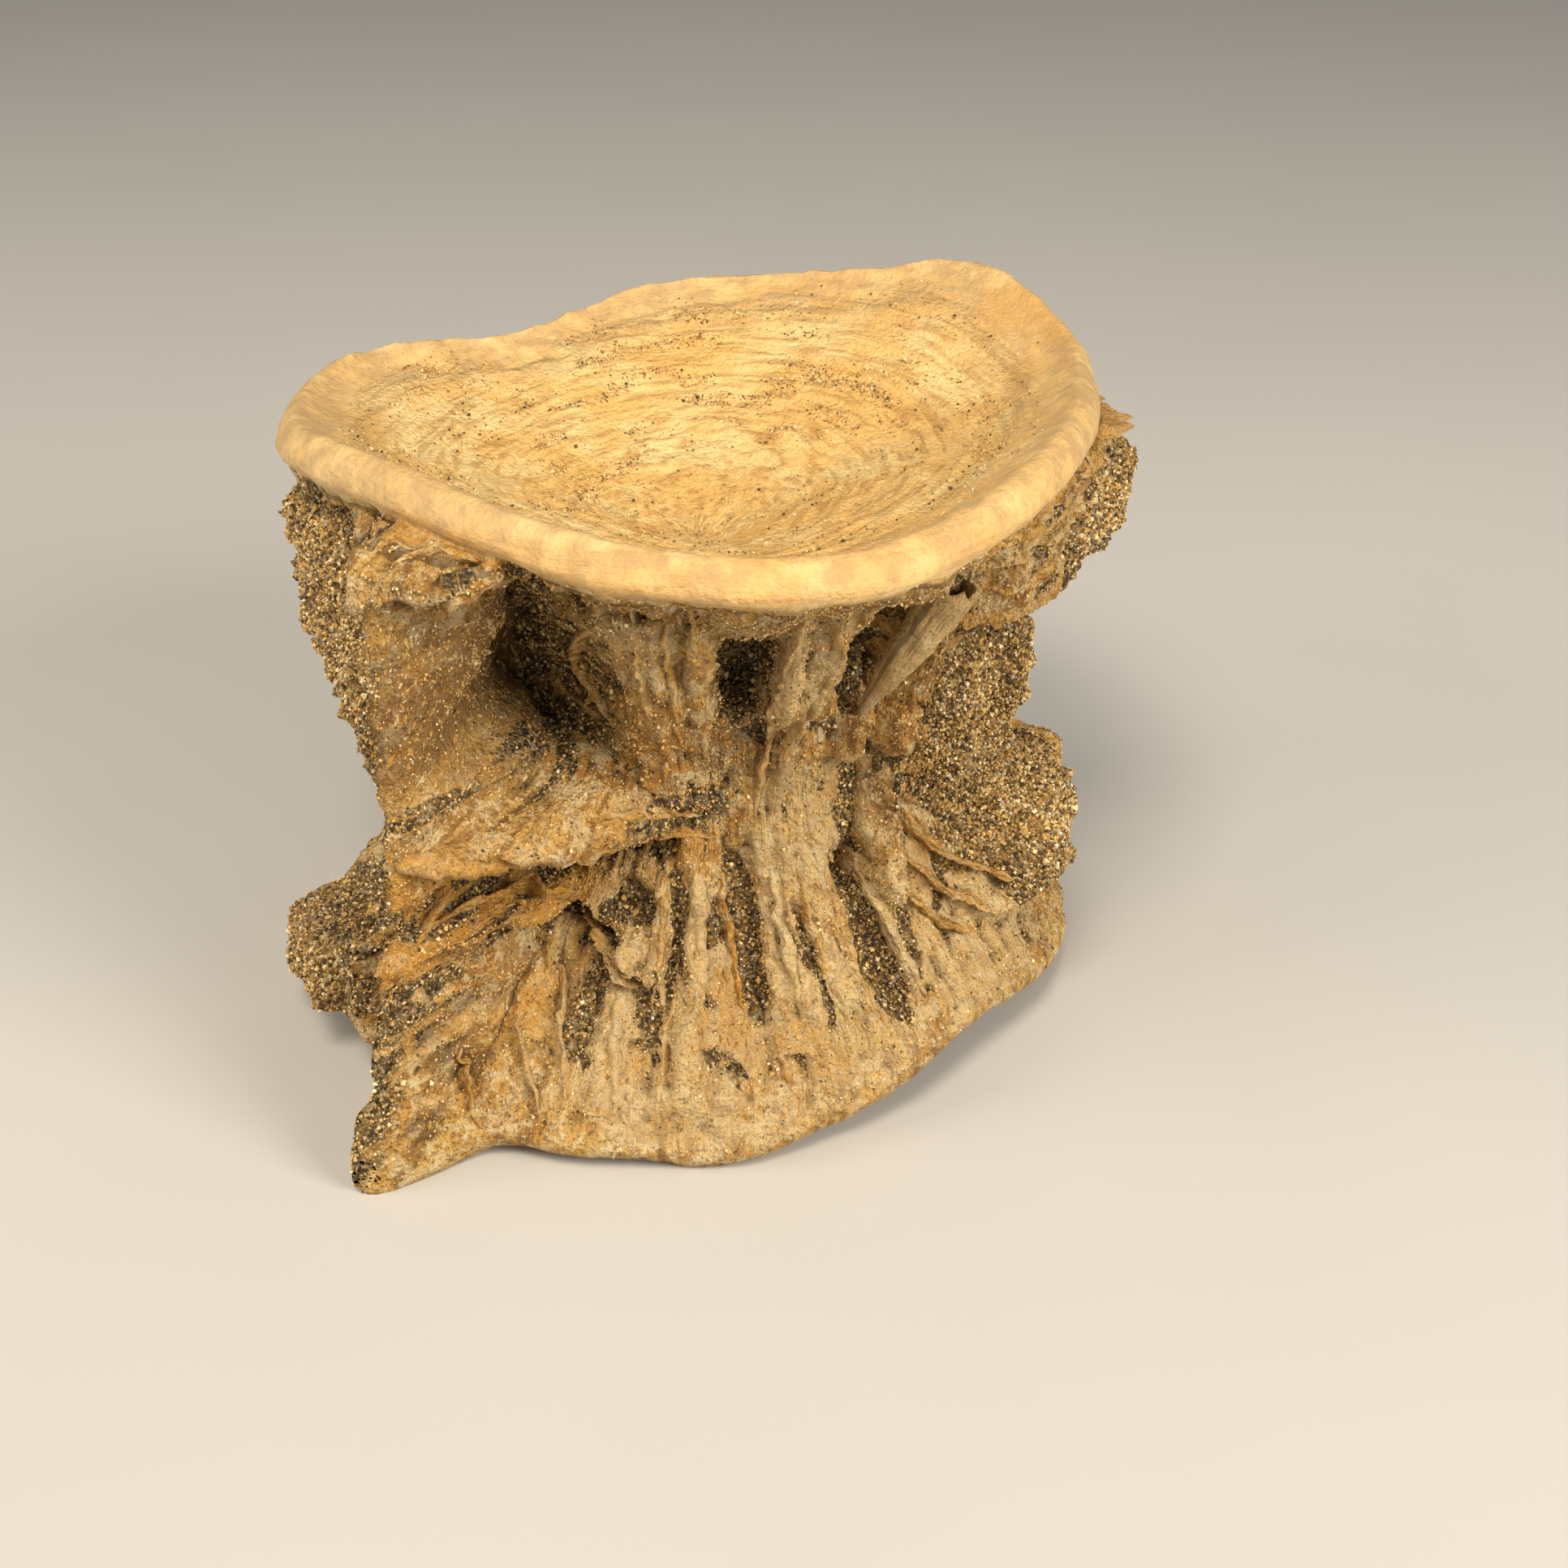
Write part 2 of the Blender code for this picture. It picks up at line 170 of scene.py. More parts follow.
# Pits: angle and height of the middle, half width and half height, lean in degrees, depth, and the direction
# that the pit is sunk in.
PITS = {
    "great cavity": (246.9, 30.6, 3.15, 6.8, 0, 7.4, 124),
    "dark zone under the lip": (258, 37.8, 4.6, 1.3, 0, 0.9, 85),
    "upper middle pit": (281, 31.4, 1.7, 3.4, 0, 4.4, 95),
    "upper right pit": (304.5, 32.0, 1.9, 4.8, 16, 5.0, 118),
    "lower middle pit": (281, 11.4, 1.2, 4.6, 0, 2.4, 95),
    "lower right pit": (304, 11.4, 1.5, 4.6, 0, 2.6, 120),
    "lower left pit": (249, 10.6, 2.4, 3.0, 20, 2.2, 80),
    "left yellow hollow": (244, 16.9, 3.4, 1.7, 8, 4.4, 80),
    "hollow under the shelf": (257, 16.6, 2.2, 1.2, 0, 1.8, 82),
    "right recess": (335, 24.0, 4.4, 8.0, 0, 2.6, 155),
    "back right pit": (66, 29, 3.6, 6.0, 0, 4.2, 246),
    "back left pit": (112, 29, 4.2, 6.5, 0, 4.2, 292),
    "back low right pit": (86, 12, 3.8, 5.0, 0, 3.4, 266),
    "back low left pit": (150, 13, 3.6, 5.0, 0, 3.4, 330),
    "right back pit": (36, 23, 3.6, 7.0, 0, 3.6, 216),
    "small hole under the struts": (287, 26.2, 0.5, 1.0, 0, 1.4, 100),
    "small hole of the lower right": (306, 13.8, 0.7, 0.8, 0, 1.6, 120),
    "black hole of the lower left": (239, 8.9, 0.3, 0.4, 0, 1.2, 70),
    "crack of the lower right": (306.5, 14.8, 0.5, 1.9, -20, 1.8, 120),
    "pit of the lower left fan": (256.5, 13.2, 1.2, 1.6, 20, 1.6, 80),
    "pit beside the corner": (238, 5.0, 1.0, 2.8, 0, 0.8, 60),
    "pit of the shoulder": (322, 34.6, 1.6, 1.4, 0, 1.6, 150),
    "groove of the left fan": (262.5, 8.0, 0.6, 3.2, 5, 1.1, 82),
    "groove beside the first strip": (267.5, 12.0, 0.55, 3.0, 0, 1.1, 88),
    "groove right of the first strip": (275.5, 11.0, 0.5, 3.4, 0, 0.9, 95),
    "groove right of the second strip": (293.0, 9.6, 0.55, 3.6, 0, 1.0, 112),
    "groove of the right fan": (312.5, 9.6, 0.6, 2.6, -10, 1.0, 132),
    "groove over the rim": (285.0, 5.2, 1.6, 0.5, 0, 0.5, 105),
    "notch under the left lip": (241.5, 40.2, 0.9, 0.5, 30, 1.4, 60),
    "groove beside the second strip": (287, 11.4, 0.5, 2.6, 0, 1.0, 100),
}
# Half the width of a pit's wall.
PIT_WALL = 0.6
# The outward spike at the foot of the front left corner: angle, place on the profile and length.
SPIKE_ANGLE = 235.5
SPIKE_PLACE = 13
SPIKE_LENGTH = 2.4
# Cells of the noise lattice along each axis, after which it repeats.
LATTICE = 32


def turn(angles, middle):
    """How far each angle lies from the middle one, -180 to 180 degrees."""
    return (angles - middle + 180) % 360 - 180


def humps(angles, table):
    """Sum of rounded humps round the compass, each its change times exp(-(distance / half width)**2)."""
    total = np.zeros_like(angles)
    for middle, half_width, change in table:
        total += change * np.exp(-((turn(angles, middle) / half_width) ** 2))
    return total


def rise(values, low, high):
    """Smooth step from 0 at low to 1 at high: 3 t squared less 2 t cubed."""
    part = np.clip((values - low) / (high - low), 0, 1)
    return part * part * (3 - 2 * part)


def cloud(points, size, seed):
    """Smooth random value from -1 to 1 at each point: numbers on a lattice of that size, blended along x, y
    and z with eased weights."""
    table = np.random.default_rng(seed).uniform(-1, 1, (LATTICE, LATTICE, LATTICE))
    place = points / size
    corner = np.floor(place).astype(int)
    part = place - corner
    part = part * part * (3 - 2 * part)
    total = np.zeros(points.shape[:-1])
    for step in np.ndindex(2, 2, 2):
        index = (corner + step) % LATTICE
        weight = np.prod(np.where(step, part, 1 - part), axis=-1)
        total += weight * table[index[..., 0], index[..., 1], index[..., 2]]
    return total


def compass(steps):
    """Angles round the bone, closest together at the front: each even step less a share of its cosine."""
    even = np.arange(steps) / steps * 2 * np.pi
    return np.degrees(even - FRONT_CROWDING * np.cos(even)) % 360


def level_way(angle):
    """Level unit vector that points in a direction of the compass."""
    return np.array([np.cos(np.radians(angle)), np.sin(np.radians(angle)), 0])


def around_points(angles, size, along, along_scale):
    """Places on a cylinder, so that noise read there runs on round the bone without a seam."""
    radian = np.radians(angles)
    return np.stack([size * np.cos(radian), size * np.sin(radian), along * along_scale], axis=-1)


def profile_stations(angles):
    """Radius and height of the named stations of the profile at each angle, from top to bottom."""
    out = RIM_RADIUS + humps(angles, UPPER_RIM_OUT)
    top = UPPER_RIM_HEIGHT + humps(angles, UPPER_RIM_UP)
    low_out = RIM_RADIUS + humps(angles, LOWER_RIM_OUT)
    base = LOWER_RIM_HEIGHT + humps(angles, LOWER_RIM_UP)
    waist = WAIST_RADIUS + humps(angles, WAIST_OUT)
    deep = top - UPPER_CUP_FLOOR
    hollow = LOWER_CUP_FLOOR - base
    level = np.ones_like(angles)
    lip = LIP + humps(angles, LIP_WIDTH)
    stations = (
        (0 * level, UPPER_CUP_FLOOR * level),
        (0.33 * out, UPPER_CUP_FLOOR + 0.32 * deep),
        (0.66 * out, UPPER_CUP_FLOOR + 0.63 * deep),
        (out - lip, top - 0.40 * lip),
        (out - 0.3 * lip, top),
        (out + 0.1 * LIP, top - 0.5 * LIP),
        (out - 0.3 * LIP, top - LIP),
        (waist + 0.52 * (out - waist), top - 7.5),
        (waist + 0.16 * (out - waist), top - 14),
        (waist, WAIST_HEIGHT * level),
        (waist + 0.24 * (low_out - waist), base + 12.5),
        (waist + 0.64 * (low_out - waist), base + 6.5),
        (low_out - 0.1 * LIP, base + 0.8 * LIP),
        (low_out + 0.05 * LIP, base + 0.35 * LIP),
        (low_out - 0.35 * LIP, base),
        (low_out - LIP, base + 0.35 * LIP),
        (0.62 * low_out, base + 0.50 * hollow),
        (0.30 * low_out, base + 0.84 * hollow),
        (0 * level, LOWER_CUP_FLOOR * level),
    )
    return np.array(stations)


def catmull_rom(before, start, end, after, t):
    """Point at share t from start to end of a smooth curve through four stations."""
    bend = (end - before) * t + (2 * before - 5 * start + 4 * end - after) * t * t
    bend = bend + (3 * start - before - 3 * end + after) * t * t * t
    return start + 0.5 * bend


def spline_rows(stations, span_rows):
    """Rows of a smooth curve through the stations, and the place of each row counted in stations."""
    rows = []
    place = []
    last = len(stations) - 1
    for span, count in enumerate(span_rows):
        before = stations[max(span - 1, 0)]
        start = stations[span]
        end = stations[span + 1]
        after = stations[min(span + 2, last)]
        for step in range(count):
            t = step / count
            rows.append(catmull_rom(before, start, end, after, t))
            place.append(span + t)
    rows.append(stations[last])
    place.append(last)
    return np.array(rows), np.array(place)


def block_radius(angles, heights, radii, block, torn):
    """Brings the skin out to a flat broken face in the block's window, whose edges a cloud tears."""
    facing, distance, first, final, low_first, low_final, high_first, high_final, soft = block
    middle = first + turn(np.array(final), first) / 2
    half = abs(turn(np.array(final), first)) / 2
    across = turn(angles, middle) + BLOCK_TEAR_ANGLE * torn
    share = np.clip((across + half) / (2 * half), 0, 1)
    low = low_first + (low_final - low_first) * share + BLOCK_TEAR_HEIGHT * torn
    high = high_first + (high_final - high_first) * share + BLOCK_TEAR_HEIGHT * torn
    soft_angle = np.degrees(soft / distance)
    window = rise(half - np.abs(across), -soft_angle, soft_angle)
    window = window * rise(heights, low - soft, low + soft) * rise(high - heights, -soft, soft)
    lean = np.cos(np.radians(np.clip(turn(angles, facing), -60, 60)))
    return radii + window * np.maximum(distance / lean - radii, 0)


def ridge_radius(angles, heights, radii, ridge):
    """Raises a crest of a given radius along a line on the side."""
    angle_a, height_a, radius_a, angle_b, height_b, radius_b, half_width = ridge
    size = (radius_a + radius_b) / 2
    along_x = np.radians(turn(np.array(angle_b), angle_a)) * size
    along_z = height_b - height_a
    x = np.radians(turn(angles, angle_a)) * size
    z = heights - height_a
    length = along_x**2 + along_z**2
    part = np.clip((x * along_x + z * along_z) / length, 0, 1)
    away = np.hypot(x - part * along_x, z - part * along_z)
    crest = radius_a + (radius_b - radius_a) * part
    return radii + np.exp(-((away / half_width) ** 2)) * np.maximum(crest - radii, 0)


def chart_reach(angles, heights, radii, patch):
    """0 at the middle of a leaning rounded patch on the side and 1 on its edge."""
    middle, height, half_width, half_height, lean = patch[:5]
    x = np.radians(turn(angles, middle)) * np.maximum(radii, 12)
    z = heights - height
    leaning = np.radians(lean)
    across = x * np.cos(leaning) + z * np.sin(leaning)
    along = z * np.cos(leaning) - x * np.sin(leaning)
    return (np.abs(across / half_width) ** 3 + np.abs(along / half_height) ** 3) ** (1 / 3)


def pit_share(angles, heights, radii, pit):
    """1 inside a pit, 0 outside, with a steep wall between."""
    wall = PIT_WALL / pit[2]
    return 1 - rise(chart_reach(angles, heights, radii, pit), 1 - wall, 1 + wall)


def smoothed(values, times):
    """Each grid point drawn half way to the mean of its four neighbours, again and again."""
    for _ in range(times):
        beside = (np.roll(values, 1, axis=1) + np.roll(values, -1, axis=1)) / 2
        above = np.concatenate([values[:1], values[:-1]])
        below = np.concatenate([values[1:], values[-1:]])
        values = values / 2 + beside / 4 + (above + below) / 8
    return values


def grid_normals(points):
    """Unit outward normals of a grid closed round its columns: the cross product of its two differences."""
    down = np.gradient(points, axis=0)
    along = (np.roll(points, -1, axis=1) - np.roll(points, 1, axis=1)) / 2
    normal = np.cross(down, along)
    normal[0] = (0, 0, 1)
    normal[-1] = (0, 0, -1)
    return normal / np.maximum(np.linalg.norm(normal, axis=-1, keepdims=True), 1e-9)


def window(values, low, high, soft):
    """1 between low and high, falling smoothly to 0 over the soft width outside them."""
    return rise(values, low - soft, low) * (1 - rise(values, high, high + soft))


class Skin:
    """The fine skin of the whole bone and what is known at each of its grid points."""

    def __init__(self):
        angles = compass(COLUMNS)
        rows, self.place = spline_rows(profile_stations(angles), SPAN_ROWS)
        radii = rows[:, 0]
        self.heights = rows[:, 1]
        self.angles = np.broadcast_to(angles, radii.shape)
        self.rest_radii = radii
        place = self.place[:, None]
        side = rise(place, SIDE_FIRST_SPAN - 0.5, SIDE_FIRST_SPAN + 0.3)
        self.side = side * (1 - rise(place, SIDE_LAST_SPAN - 0.3, SIDE_LAST_SPAN + 0.9))
        self.cup = 1 - rise(place, 2.4, 3.2)
        self.lip = window(place, 3.0, 5.2, 0.8)
        self.form()
        self.break_up()
        self.normals = grid_normals(self.points)
        self.calm_points = smoothed(self.points, 14)
        self.calm_normals = grid_normals(smoothed(self.points, 60))
        self.find_hollows()
        self.stain()

    def form(self):
        """Blocks and ridges change the radius; pits then sink points along one direction each."""
        formed = self.rest_radii.copy()
        chart = around_points(self.angles, RIM_RADIUS, self.heights, 1.0)
        torn = cloud(chart, 3.6, 13) + 0.5 * cloud(chart, 1.3, 14)
        for block in BLOCKS.values():
            formed = block_radius(self.angles, self.heights, formed, block, torn)
        for ridge in RIDGES.values():
            formed = ridge_radius(self.angles, self.heights, formed, ridge)
        formed = self.rest_radii + self.side * (formed - self.rest_radii)
        radian = np.radians(self.angles)
        points = np.stack([formed * np.cos(radian), formed * np.sin(radian), self.heights], axis=-1)
        for pit in PITS.values():
            depth, facing = pit[5:]
            share = self.side * pit_share(self.angles, self.heights, self.rest_radii, pit)
            points = points + (depth * share)[..., None] * level_way(facing)
        spike = np.exp(-((turn(self.angles, SPIKE_ANGLE) / 4.0) ** 2))
        spike = spike * np.exp(-(((self.place - SPIKE_PLACE) / 1.1) ** 2))[:, None]
        out = level_way(SPIKE_ANGLE) + (0, 0, -0.25)
        self.points = points + (SPIKE_LENGTH * spike)[..., None] * out

    def break_up(self):
        """Rough bone: clouds push the skin along its normals. Long thin ones give the side its fibres and
        the cup its growth rings, and fine ones crumble the left face and the far lip."""
        normals = grid_normals(self.points)
        base = self.points.copy()
        self.reach = np.cumsum(np.linalg.norm(np.diff(base, axis=0, prepend=base[:1]), axis=-1), axis=0)
        fibre = around_points(self.angles, 24.0, self.heights, 0.12)
        ring = around_points(self.angles, 4.0, self.reach, 1.25)
        rough = 0.08 + 0.92 * self.side
        push = 0.45 * cloud(base, 4.2, 1) * rough
        push += (0.10 + 0.32 * self.side) * cloud(base, 1.7, 2)
        push += (0.05 + 0.24 * self.side) * cloud(base, 0.75, 3)
        push += 0.34 * self.side * cloud(fibre, 1.0, 4)
        push += 0.22 * self.side * cloud(fibre, 0.5, 5)
        push += 0.26 * self.cup * cloud(ring, 1.0, 6)
        push += 0.16 * self.cup * cloud(ring, 0.5, 7)
        broken = window(turn(self.angles, 200), -30, 31, 4) * window(self.heights, 12, 39, 3)
        push += 0.55 * broken * self.side * cloud(base, 0.9, 8)
        behind = window(turn(self.angles, 105), -45, 45, 12)
        push += 0.32 * behind * self.lip * cloud(base, 0.9, 9)
        self.points = base + push[..., None] * normals
        self.points[..., 2] = np.maximum(self.points[..., 2], 0)

    def find_hollows(self):
        """How deep each point lies under the smoothed skin: narrow hollows and broad ones."""
        narrow = smoothed(self.points, 10) - self.points
        broad = smoothed(self.points, 90) - self.points
        self.narrow = (narrow * self.normals).sum(-1)
        self.broad = (broad * self.normals).sum(-1)

    def areas(self, table):
        """Sum of the shares of named areas of the side, each soft at its edge and torn by a cloud."""
        torn = 0.35 * cloud(self.points, 1.6, 11) + 0.2 * cloud(self.points, 0.6, 12)
        total = np.zeros(self.angles.shape)
        for patch in table:
            reach = chart_reach(self.angles, self.heights, self.rest_radii, patch)
            total = np.maximum(total, patch[5] * (1 - rise(reach + torn, 0.6, 1.15)))
        return total

    def stain(self):
        """Where sand, specks in the cup, ochre, pale and honey bone lie, and where shade is painted under the
        lip and in the cavity.
        """
        spread = cloud(self.points, 3.0, 21) + 0.6 * cloud(self.points, 1.2, 22)
        filled = rise(self.broad + 0.25 * spread, 0.15, 0.75) + rise(self.narrow, 0.05, 0.22) * 0.5
        sand = np.clip(filled, 0, 1) * self.side
        sand = np.maximum(sand, self.areas(SAND_AREAS) * self.side)
        self.sand = np.clip(sand - self.areas(BARE_AREAS), 0, 1)
        banded = rise(cloud(around_points(self.angles, 5.0, self.reach, 1.1), 1.0, 23), -0.25, 0.6)
        self.cup_specks = self.cup * banded * (0.12 + self.areas(CUP_SPECKS))
        self.ochre = np.clip(self.areas(OCHRE_AREAS) + 0.5 * rise(spread, 0.5, 1.3), 0, 1)
        self.pale = self.areas(PALE_AREAS)
        self.honey = self.areas(HONEY_AREAS)
        self.dark = self.areas(PAINTED_SHADE_AREAS) * self.side


# Areas of the side: angle, height, half width, half height, lean, strength.
SAND_AREAS = (
    (198, 30, 12.0, 11.0, 0, 1.0),
    (202, 7, 9.0, 5.5, 0, 1.0),
    (235.4, 7, 1.1, 7.0, 0, 0.95),
    (335, 24, 4.6, 9.0, 0, 0.75),
    (343, 13, 5.0, 5.0, 0, 0.8),
    (350, 35, 9.0, 4.5, 0, 0.9),
    (248, 31, 3.3, 6.2, 0, 1.0),
    (241, 24.4, 3.4, 1.0, 0, 0.9),
    (281, 30, 2.0, 4.4, 0, 1.0),
    (305, 31, 2.0, 4.6, 16, 1.0),
    (281, 11, 1.0, 4.6, 0, 1.0),
    (305, 10, 1.3, 4.4, 0, 1.0),
    (250.5, 9.0, 1.7, 3.0, 20, 0.9),
    (268, 20, 3.4, 2.2, 0, 0.7),
    (284, 24, 4.0, 2.0, 0, 0.45),
    (306, 18, 1.0, 2.2, 0, 0.8),
    (262.5, 8.0, 0.8, 3.0, 5, 0.9),
    (267.5, 12.0, 0.7, 3.0, 0, 0.8),
    (293.0, 9.6, 0.7, 3.4, 0, 0.8),
    (312.5, 9.6, 0.8, 2.4, -10, 0.8),
    (276.0, 5.0, 1.6, 1.2, 0, 0.5),
    (240, 16.5, 2.2, 1.2, 0, 0.35),
    (110, 28, 7.0, 6.0, 0, 0.9),
    (75, 12, 6.0, 5.0, 0, 0.7),
    (150, 14, 6.0, 6.0, 0, 0.8),
    (30, 24, 6.0, 8.0, 0, 0.8),
    (270, 1.2, 2.4, 1.0, 0, 0.8),
)
BARE_AREAS = (
    (241.5, 6.0, 3.2, 5.6, 0, 0.9),
    (259, 5.0, 2.0, 4.0, 0, 0.5),
    (236.5, 30, 1.9, 6.0, 0, 1.0),
    (243, 21.6, 6.0, 0.9, 0, 0.8),
    (264, 29, 1.6, 8.0, 0, 0.8),
    (327, 6, 4.0, 2.4, 0, 0.9),
    (289, 15, 3.0, 2.0, 0, 0.4),
    (300, 22.5, 2.6, 2.4, 0, 0.6),
    (285, 3.0, 16.0, 2.2, 0, 0.7),
)
CUP_SPECKS = (
    (60, 38.6, 9.0, 1.8, 0, 0.8),
    (124, 36.3, 5.0, 1.6, 0, 0.75),
    (133, 34.9, 2.4, 0.9, 0, 0.7),
    (95, 37.6, 12.0, 1.6, 0, 0.6),
    (150, 35.5, 5.0, 1.4, 0, 0.5),
    (110, 39.6, 16.0, 1.4, 0, 0.5),
)
OCHRE_AREAS = (
    (250, 11.0, 2.0, 1.6, 30, 1.0),
    (240, 14.0, 3.4, 1.8, 0, 1.0),
    (237, 19.6, 2.6, 1.0, 0, 0.9),
    (262, 17.6, 3.0, 1.4, 0, 0.8),
    (276, 7.7, 2.2, 1.8, 0, 0.9),
    (289, 5.8, 2.6, 1.4, 0, 0.8),
    (236, 16.8, 3.0, 1.8, 0, 1.0),
    (243, 8.0, 2.0, 1.8, 0, 0.8),
    (264, 27, 2.2, 5.0, 0, 0.5),
    (236, 20.5, 2.4, 1.2, 0, 0.6),
    (268, 17, 4.0, 2.0, 0, 0.7),
    (306, 21, 1.8, 2.4, 0, 0.5),
    (340, 19, 3.0, 1.6, 0, 0.8),
    (285, 41.5, 30.0, 1.2, 0, 0.45),
)
# Painted shade: the lip's shadow on the upper front, and shade on the column, under the struts, on the
# cavity's left wall and over the shelf.
PAINTED_SHADE_AREAS = (
    (258, 37.6, 12.0, 3.4, 0, 0.5),
    (290, 36.5, 12.0, 3.4, 0, 0.4),
    (266, 29, 4.0, 7.0, 0, 0.35),
    (284, 24, 5.0, 3.0, 0, 0.3),
    (239.5, 31, 4.4, 6.4, 0, 0.75),
    (268, 20.5, 4.0, 2.4, 0, 0.3),
)
HONEY_AREAS = (
    (337, 29, 3.4, 2.0, 0, 0.7),
    (330, 24.5, 3.0, 1.2, 0, 0.6),
    (327, 6.2, 4.0, 2.2, 0, 0.25),
    (238, 30, 1.4, 7.0, 0, 0.8),
    (30, 43.5, 5.0, 1.2, 0, 0.7),
)
PALE_AREAS = (
    (287.5, 12, 1.0, 3.0, 0, 0.9),
    (271.5, 12, 1.3, 3.6, 0, 0.9),
    (258, 7, 1.2, 3.0, 0, 0.8),
    (290, 16.5, 2.6, 2.0, 0, 0.8),
    (301, 17, 2.4, 3.0, 0, 0.8),
    (308, 11, 1.6, 3.0, 0, 0.8),
    (285, 2.4, 14.0, 1.4, 0, 0.7),
    (283, 8.0, 17.0, 7.0, 0, 0.5),
    (300, 19.0, 3.4, 5.0, 0, 0.55),
    (328, 8.0, 8.0, 6.0, 0, 0.6),
    (334, 26.0, 4.0, 9.0, 0, 0.4),
    (202, 12.4, 6.0, 1.8, 0, 0.8),
    (318, 3.2, 12.0, 1.4, 0, 0.7),
    (262, 34, 3.0, 3.0, 0, 0.4),
    (290, 33, 2.0, 5.0, 0, 0.5),
    (200, 11.5, 6.0, 1.4, 0, 0.5),
)


def grid_faces(rows, columns, start):
    """Quads between neighbouring rows of a grid that closes round its columns."""
    row, column = np.meshgrid(np.arange(rows - 1), np.arange(columns), indexing="ij")
    a = row * columns + column
    b = row * columns + (column + 1) % columns
    return start + np.stack([a, a + columns, b + columns, b], axis=-1).reshape(-1, 4)


def fan_faces(middle, ring, downward):
    """Triangles from a middle point to each side of a ring."""
    beside = np.roll(ring, -1)
    order = (beside, ring) if downward else (ring, beside)
    return np.stack([np.full(len(ring), middle), *order], axis=-1)


def clipped(points):
    """Points in metres in the model's frame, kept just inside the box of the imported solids."""
    placed = (points + AXIS) * METRES
    low = np.array(cad_box[0]) + CLEAR * METRES
    high = np.array(cad_box[1]) - CLEAR * METRES
    low[2] = cad_box[0][2]
    return np.clip(placed, low, high)


def mesh_piece(name, points, faces, loop_uv, finish, smooth=True, values=None):
    """One object from arrays: faces is a list of index arrays, and values holds one array per attribute."""
    mesh = bpy.data.meshes.new(name)
    corners = np.concatenate([part.reshape(-1) for part in faces])
    sizes = np.concatenate([np.full(len(part), part.shape[1]) for part in faces])
    mesh.vertices.add(len(points))
    mesh.vertices.foreach_set("co", clipped(points).astype(np.float32).ravel())
    mesh.loops.add(len(corners))
    mesh.loops.foreach_set("vertex_index", corners.astype(np.int32))
    mesh.polygons.add(len(sizes))
    mesh.polygons.foreach_set("loop_start", (np.cumsum(sizes) - sizes).astype(np.int32))
    layer = mesh.uv_layers.new(name="OFBake")
    layer.data.foreach_set("uv", loop_uv.astype(np.float32).ravel())
    for label, value in (values or {}).items():
        kind = "FLOAT" if value.ndim == 1 else "FLOAT_VECTOR"
        made = mesh.attributes.new(label, kind, "POINT")
        made.data.foreach_set("value" if value.ndim == 1 else "vector", value.astype(np.float32).ravel())
    mesh.update(calc_edges=True)
    mesh.validate()
    mesh.polygons.foreach_set("use_smooth", np.full(len(sizes), smooth))
    mesh.materials.append(finish)
    made = bpy.data.objects.new(name, mesh)
    bpy.context.scene.collection.objects.link(made)
    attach(made, "root")
    return made


def linear(code):
    """Linear colour of an sRGB hex value: each channel c becomes ((c + 0.055) / 1.055) to the power 2.4."""
    channels = [int(code[place : place + 2], 16) / 255 for place in (1, 3, 5)]
    return [((c + 0.055) / 1.055) ** 2.4 if c > 0.04 else c / 12.92 for c in channels] + [1]


def add(tree, kind, inputs=(), **settings):
    """Adds one node: settings are its properties, and inputs gives sockets a value or a node's output."""
    made = tree.nodes.new(kind)
    for name, value in settings.items():
        setattr(made, name, value)
    for socket, value in dict(inputs).items():
        if isinstance(value, bpy.types.NodeSocket):
            tree.links.new(value, made.inputs[socket])
        else:
            made.inputs[socket].default_value = value
    return made


def new_material(name):
    """A material, its node tree and its shader."""
    made = bpy.data.materials.new(name)
    made.use_nodes = True
    return made, made.node_tree, made.node_tree.nodes["Principled BSDF"]


def mixed(tree, factor, first, second):
    """Colour between two others."""
    return add(tree, "ShaderNodeMix", {0: factor, 6: first, 7: second}, data_type="RGBA").outputs[2]


def scaled(tree, value, low, high, to_low=0.0, to_high=1.0):
    """A value brought smoothly from one range to another."""
    inputs = {"Value": value, "From Min": low, "From Max": high, "To Min": to_low, "To Max": to_high}
    return add(tree, "ShaderNodeMapRange", inputs, interpolation_type="SMOOTHSTEP").outputs["Result"]


def joined(tree, operation, first, second):
    """Two values joined by an operation such as ADD."""
    return add(tree, "ShaderNodeMath", {0: first, 1: second}, operation=operation).outputs[0]


def mottle(tree, place, size, detail=3.0):
    """Noise whose features are about size millimetres across."""
    inputs = {"Vector": place, "Scale": 1 / (size * METRES), "Detail": detail, "Roughness": 0.6}
    return add(tree, "ShaderNodeTexNoise", inputs).outputs["Fac"]


# Colours of the sand grains and the share of each among the single grains.
SAND_TONES = {
    "#4E3C22": 0.13,
    "#8F6F3B": 0.13,
    "#BC9655": 0.18,
    "#D9B46C": 0.19,
    "#A38D64": 0.1,
    "#F0DCAA": 0.14,
    "#6E5630": 0.06,
    "#C99A4A": 0.07,
}


def sand_colour(tree, place, grain=0.26):
    """Colour and height of packed sand: one tone for each cell, with painted shade between the grains."""
    cells = add(tree, "ShaderNodeTexVoronoi", {"Vector": place, "Scale": 1 / (grain * METRES)})
    chance = add(tree, "ShaderNodeSeparateColor", {"Color": cells.outputs["Color"]}).outputs[0]
    ramp = add(tree, "ShaderNodeValToRGB", {"Fac": chance})
    stops = ramp.color_ramp
    stops.interpolation = "CONSTANT"
    for _ in range(len(SAND_TONES) - 2):
        stops.elements.new(0.5)
    for step, tone in enumerate(SAND_TONES):
        stops.elements[step].position = step / len(SAND_TONES)
        stops.elements[step].color = linear(tone)
    height = scaled(tree, cells.outputs["Distance"], 0.0, 0.7, 1.0, 0.0)
    # Painted shade in the gaps between the grains.
    between = scaled(tree, height, 0.0, 0.6, 0.5, 0.0)
    return mixed(tree, between, ramp.outputs["Color"], linear("#3E2D18")), height


